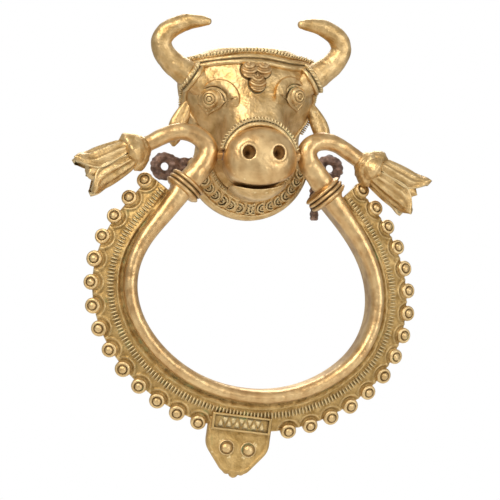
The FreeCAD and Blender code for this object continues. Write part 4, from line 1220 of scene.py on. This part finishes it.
def moved_to_pendant(mesh, flips=(1, 1, 1), shift=(0, 0, 0)):
    """Sets a mesh made in the pendant's own plane on the ring, flipped and shifted there first."""
    points = np.empty(len(mesh.vertices) * 3)
    mesh.vertices.foreach_get("co", points)
    points = points.reshape(-1, 3) / MM * np.array(flips) + np.array(shift)
    mesh.vertices.foreach_set("co", (on_pendant(points) * MM).ravel())
    mesh.update()
    return mesh


fit_piece("pendant_shield", moved_to_pendant(shield_mesh), "ring", "cast_brass", flange_brass, "pendant")


def plaque_form(x, y, z):
    side, high = np.abs(x), np.abs(z)
    box = cut_with(np.maximum(side - 14.8, high - 4.2), np.abs(y - 0.2) - 1.6, 0.5)
    floor_of_panel = np.maximum(np.maximum(side - 13.5, high - 3.1), y + 0.3)
    return cut_with(box, -floor_of_panel, 0.3)


plaque_parts = [moved_to_pendant(sculpted("plaque", plaque_form, (-16, -2.5, -5.5), (16, 3, 5.5), 0.35))]
wedge_points = np.array([(-2.0, 0.0, -2.9), (2.0, 0.0, -2.9), (0.0, 0.0, 2.7), (0.0, -1.35, -1.0)])
wedge = facing_out(plain_mesh("wedge", wedge_points, [(0, 1, 2), (0, 3, 1), (1, 3, 2), (2, 3, 0)]))
FIRST_WEDGE, WEDGE_PITCH, WEDGE_COUNT = -10.3, 4.12, 6
for count in range(WEDGE_COUNT):
    for flip, shift in ((1, 0.0), (-1, 2.05)):
        # the last upright wedge has no upside-down one after it
        if flip > 0 or count < WEDGE_COUNT - 1:
            place = (FIRST_WEDGE + count * WEDGE_PITCH + shift, 0, 0)
            plaque_parts.append(moved_to_pendant(wedge.copy(), (flip, 1, flip), place))
plaque_mesh = joined("plaque_panel", plaque_parts)
fit_piece("plaque_panel", plaque_mesh, "ring", "cast_brass", flange_brass, "pendant_plaque")
stud_profile = [(0, -0.6), (3.9, -0.6), (4.0, 0.2), (3.8, 0.6), (3.45, 0.6), (3.2, 0.35), (2.95, 0.25),
                (2.75, 0.35),
                (2.6, 0.9), (2.35, 1.5), (1.8, 2.0), (1.0, 2.35), (0, 2.45)]
studs = []
for side in (-1, 1):
    stud = facing_out(turned_mesh("stud", stud_profile, (side * 5.45, 1.6, -12.6), (0.0, -1.0, 0.0), 32))
    studs.append(moved_to_pendant(stud))
fit_piece("pendant_stud_pair", joined("pendant_stud_pair", studs), "ring", "cast_brass", cast_brass,
          "pendant_studs")

# ---------------------------------------------------------------- collars and hooks
# Each end of the grip runs through a three-ribbed collar into a round hook. The hook turns in to the
# muzzle, where it is bored for the pin, and over and out again as the stem of a flower bud.
hook_places = {
    -1: [(-38.4, -12.6), (-34.4, -8.8), (-29.6, -3.6), (-26.0, 1.4), (-25.0, 6.2), (-27.4, 11.0),
         (-32.4, 14.2), (-38.6, 15.0), (-44.8, 13.6), (-50.2, 11.0), (-55.2, 8.4)],
    1: [(37.4, -15.6), (33.9, -11.2), (29.2, -4.8), (25.8, 0.8), (25.0, 5.4), (27.6, 9.8),
        (32.6, 11.4), (38.0, 10.6), (43.2, 8.0), (47.6, 5.1), (51.6, 2.5)],
}
hook_radii = [(0.0, 5.6), (0.2, 5.7), (0.35, 5.4), (0.5, 4.8), (0.65, 4.3), (0.85, 4.0), (1.0, 3.9)]
collar_rows = [(0.0, -0.3), (8.6, -0.3)]
for step in range(49):
    share = step / 48
    collar_rows.append((8.9 + 1.35 * abs(math.sin(3 * math.pi * share)) ** 0.7, 0.1 + 6.8 * share))
collar_rows += [(8.4, 7.1), (5.0, 7.6), (0.0, 7.6)]
buds = {}
for side, word in ((-1, "left"), (1, "right")):
    end = 0.0 if side < 0 else GRIP_LENGTH
    tangent = grip_tangent[0] if side < 0 else grip_tangent[-1]
    axis = np.array((tangent[0], 0.0, tangent[1])) * side
    foot = grip_place(end, float(grip_width(end)) / 2, 0.0)
    size = 0.92 if side < 0 else 1.0
    collar = facing_out(turned_mesh("collar_" + word, [(r * size, h) for r, h in collar_rows], foot, axis,
                                    56))
    fit_piece("collar_ribbed_" + word, collar, "ring", "cast_brass", handled_brass, "collar_" + word)
    line = [(x, PIVOT_Y, z) for x, z in hook_places[side]]
    stem = tapering_rod("hook_" + word, line, hook_radii, 32, 0.3)
    boss_line = [(side * out, PIVOT_Y, PIVOT_Z) for out in (18.2, 19.8, 22.5, 25.0)]
    boss = tapering_rod("boss", boss_line, [(0, 2.5), (0.3, 2.9), (0.7, 4.0), (1.0, 4.6)], 28, 0.1)
    fit_piece("hook_" + word + "_rod", joined("hook_" + word + "_rod", [stem, boss]), "ring", "handled_brass",
              handled_brass, "hook_" + word)
    last, before = np.array(line[-1]), np.array(line[-2])
    buds[side] = (last, (last - before) / np.linalg.norm(last - before))


# ---------------------------------------------------------------- flower buds
# Both stems end in a half-open lotus: rounded sepals clasp the root, four fluted petals flare to
# pointed tips, and a knot of inner petals fills the dark mouth.
def bud_frame(side):
    seat, axis = buds[side]
    across = np.cross(axis, (0.0, 1.0, 0.0))
    across /= np.linalg.norm(across)
    return seat, axis, across, np.cross(axis, across)


def around_bud(side, height, radius, turn):
    seat, axis, across, other = bud_frame(side)
    height, radius, turn = (np.asarray(value, float)[..., None] for value in (height, radius, turn))
    return seat + axis * height + (across * np.cos(turn) + other * np.sin(turn)) * radius


def shell_of(name, outer, inner):
    """A closed shell from two grids (rows, columns, xyz) that share their first and last rows' rims."""
    rows, columns = outer.shape[:2]
    points = np.concatenate([outer.reshape(-1, 3), inner.reshape(-1, 3)])
    base = rows * columns
    quads = []
    for row in range(rows - 1):
        for column in range(columns - 1):
            a = row * columns + column
            quads.append((a, a + 1, a + columns + 1, a + columns))
            quads.append((base + a, base + a + columns, base + a + columns + 1, base + a + 1))
    for column in range(columns - 1):
        quads.append((column, base + column, base + column + 1, column + 1))
        top = (rows - 1) * columns + column
        quads.append((top, top + 1, base + top + 1, base + top))
    for row in range(rows - 1):
        a = row * columns
        quads.append((a, a + columns, base + a + columns, base + a))
        b = a + columns - 1
        quads.append((b, base + b, base + b + columns, b + columns))
    return facing_out(plain_mesh(name, points, quads))


def petal_mesh(side, middle, half_angle, foot, tip, base_r, belly_r, tip_r, wall, flutes, lift, point=2.4):
    """One petal: narrow at its foot, widest at two thirds, fluted, its pointed tip turned outwards."""
    along = np.linspace(0, 1, 30)[:, None] * np.ones((1, 25))
    over = np.ones((30, 1)) * np.linspace(-1, 1, 25)[None, :]
    shape = np.where(along < 0.60, 0.84 + 0.22 * np.sin(math.pi * along / 1.2),
                     1.06 * (1 - (np.clip(along - 0.60, 0, 1) / 0.40) ** point))
    shape = np.maximum(shape, 0.06)
    turn = middle + over * half_angle * shape
    height = foot + (tip - foot) * along
    radius = base_r + (belly_r - base_r) * np.sin(math.pi * np.clip(along, 0, 1) / 1.5) ** 1.2
    radius = radius + (tip_r - belly_r) * smooth_step(along, 0.68, 1.0)
    crown = 1.0 - 0.16 * over ** 2
    groove = 0.55 * np.cos(math.pi * flutes * over) * smooth_step(along, 0.05,
                                                                  0.2) * (1 - smooth_step(along, 0.70, 0.88))
    rim = 0.35 * smooth_step(np.abs(over), 0.75, 0.95) * smooth_step(along, 0.3, 0.6)
    outer = around_bud(side, height, radius * crown + groove + rim + lift, turn)
    inner = around_bud(side, height, radius * crown - wall + lift, turn)
    return shell_of("petal", outer, inner)


def heart_furrow(radius, height, turn):
    return radius * (1 - 0.16 * abs(math.sin(2 * turn)) ** 0.5 * (height > 14))


for side, word in ((-1, "left"), (1, "right")):
    sepals = []
    body_rows = [(0.0, -0.8), (3.7, -0.8), (4.6, 0.0), (5.3, 0.9), (5.9, 1.4), (7.6, 2.6), (8.3, 4.6),
                 (8.2, 6.8), (7.4, 8.8), (0.0, 9.0)]
    seat, axis = buds[side]
    sepals.append(facing_out(turned_mesh("calyx_core", body_rows, seat, axis, 40)))
    for count in range(5):
        middle = 2 * math.pi * (count + (0.15 if side < 0 else 0.4)) / 5
        sepals.append(petal_mesh(side, middle, 0.68, 0.6, 11.4, 5.2, 9.6, 9.3, 2.2, 0,
                                 0.3 + 0.25 * (count % 2)))
    fit_piece("calyx_sepals_" + word, joined("calyx_sepals_" + word, sepals), "ring", "cast_brass",
              cast_brass,
              "calyx_" + word)
    petals = []
    for count in range(4):
        middle = math.pi / 2 * (count + 0.5)
        petals.append(petal_mesh(side, middle, 0.82, 7.5, 35.0, 7.8, 10.6, 14.6, 1.5, 4, 0.15 * (count % 2),
                                 1.7))
    fit_piece("lotus_petals_" + word, joined("lotus_petals_" + word, petals), "ring", "cast_brass",
              cast_brass,
              "flower_" + word)
    heart_rows = [(0.0, 10.0), (5.5, 10.0), (6.8, 15.0), (7.2, 20.0), (7.0, 24.0), (6.2, 28.0), (4.4, 31.0),
                  (2.2, 32.6), (0.0, 33.0)]
    knots = [facing_out(turned_mesh("heart", heart_rows, seat, axis, 48, heart_furrow))]
    for count in range(4):
        middle = math.pi / 2 * count
        knots.append(petal_mesh(side, middle, 0.62, 12.0, 32.6, 6.6, 8.6, 9.8, 1.3, 0, 0.0))
    fit_piece("lotus_heart_" + word, joined("lotus_heart_" + word, knots), "ring", "cast_brass", cast_brass,
              "stamen_" + word)

bpy.context.view_layer.update()
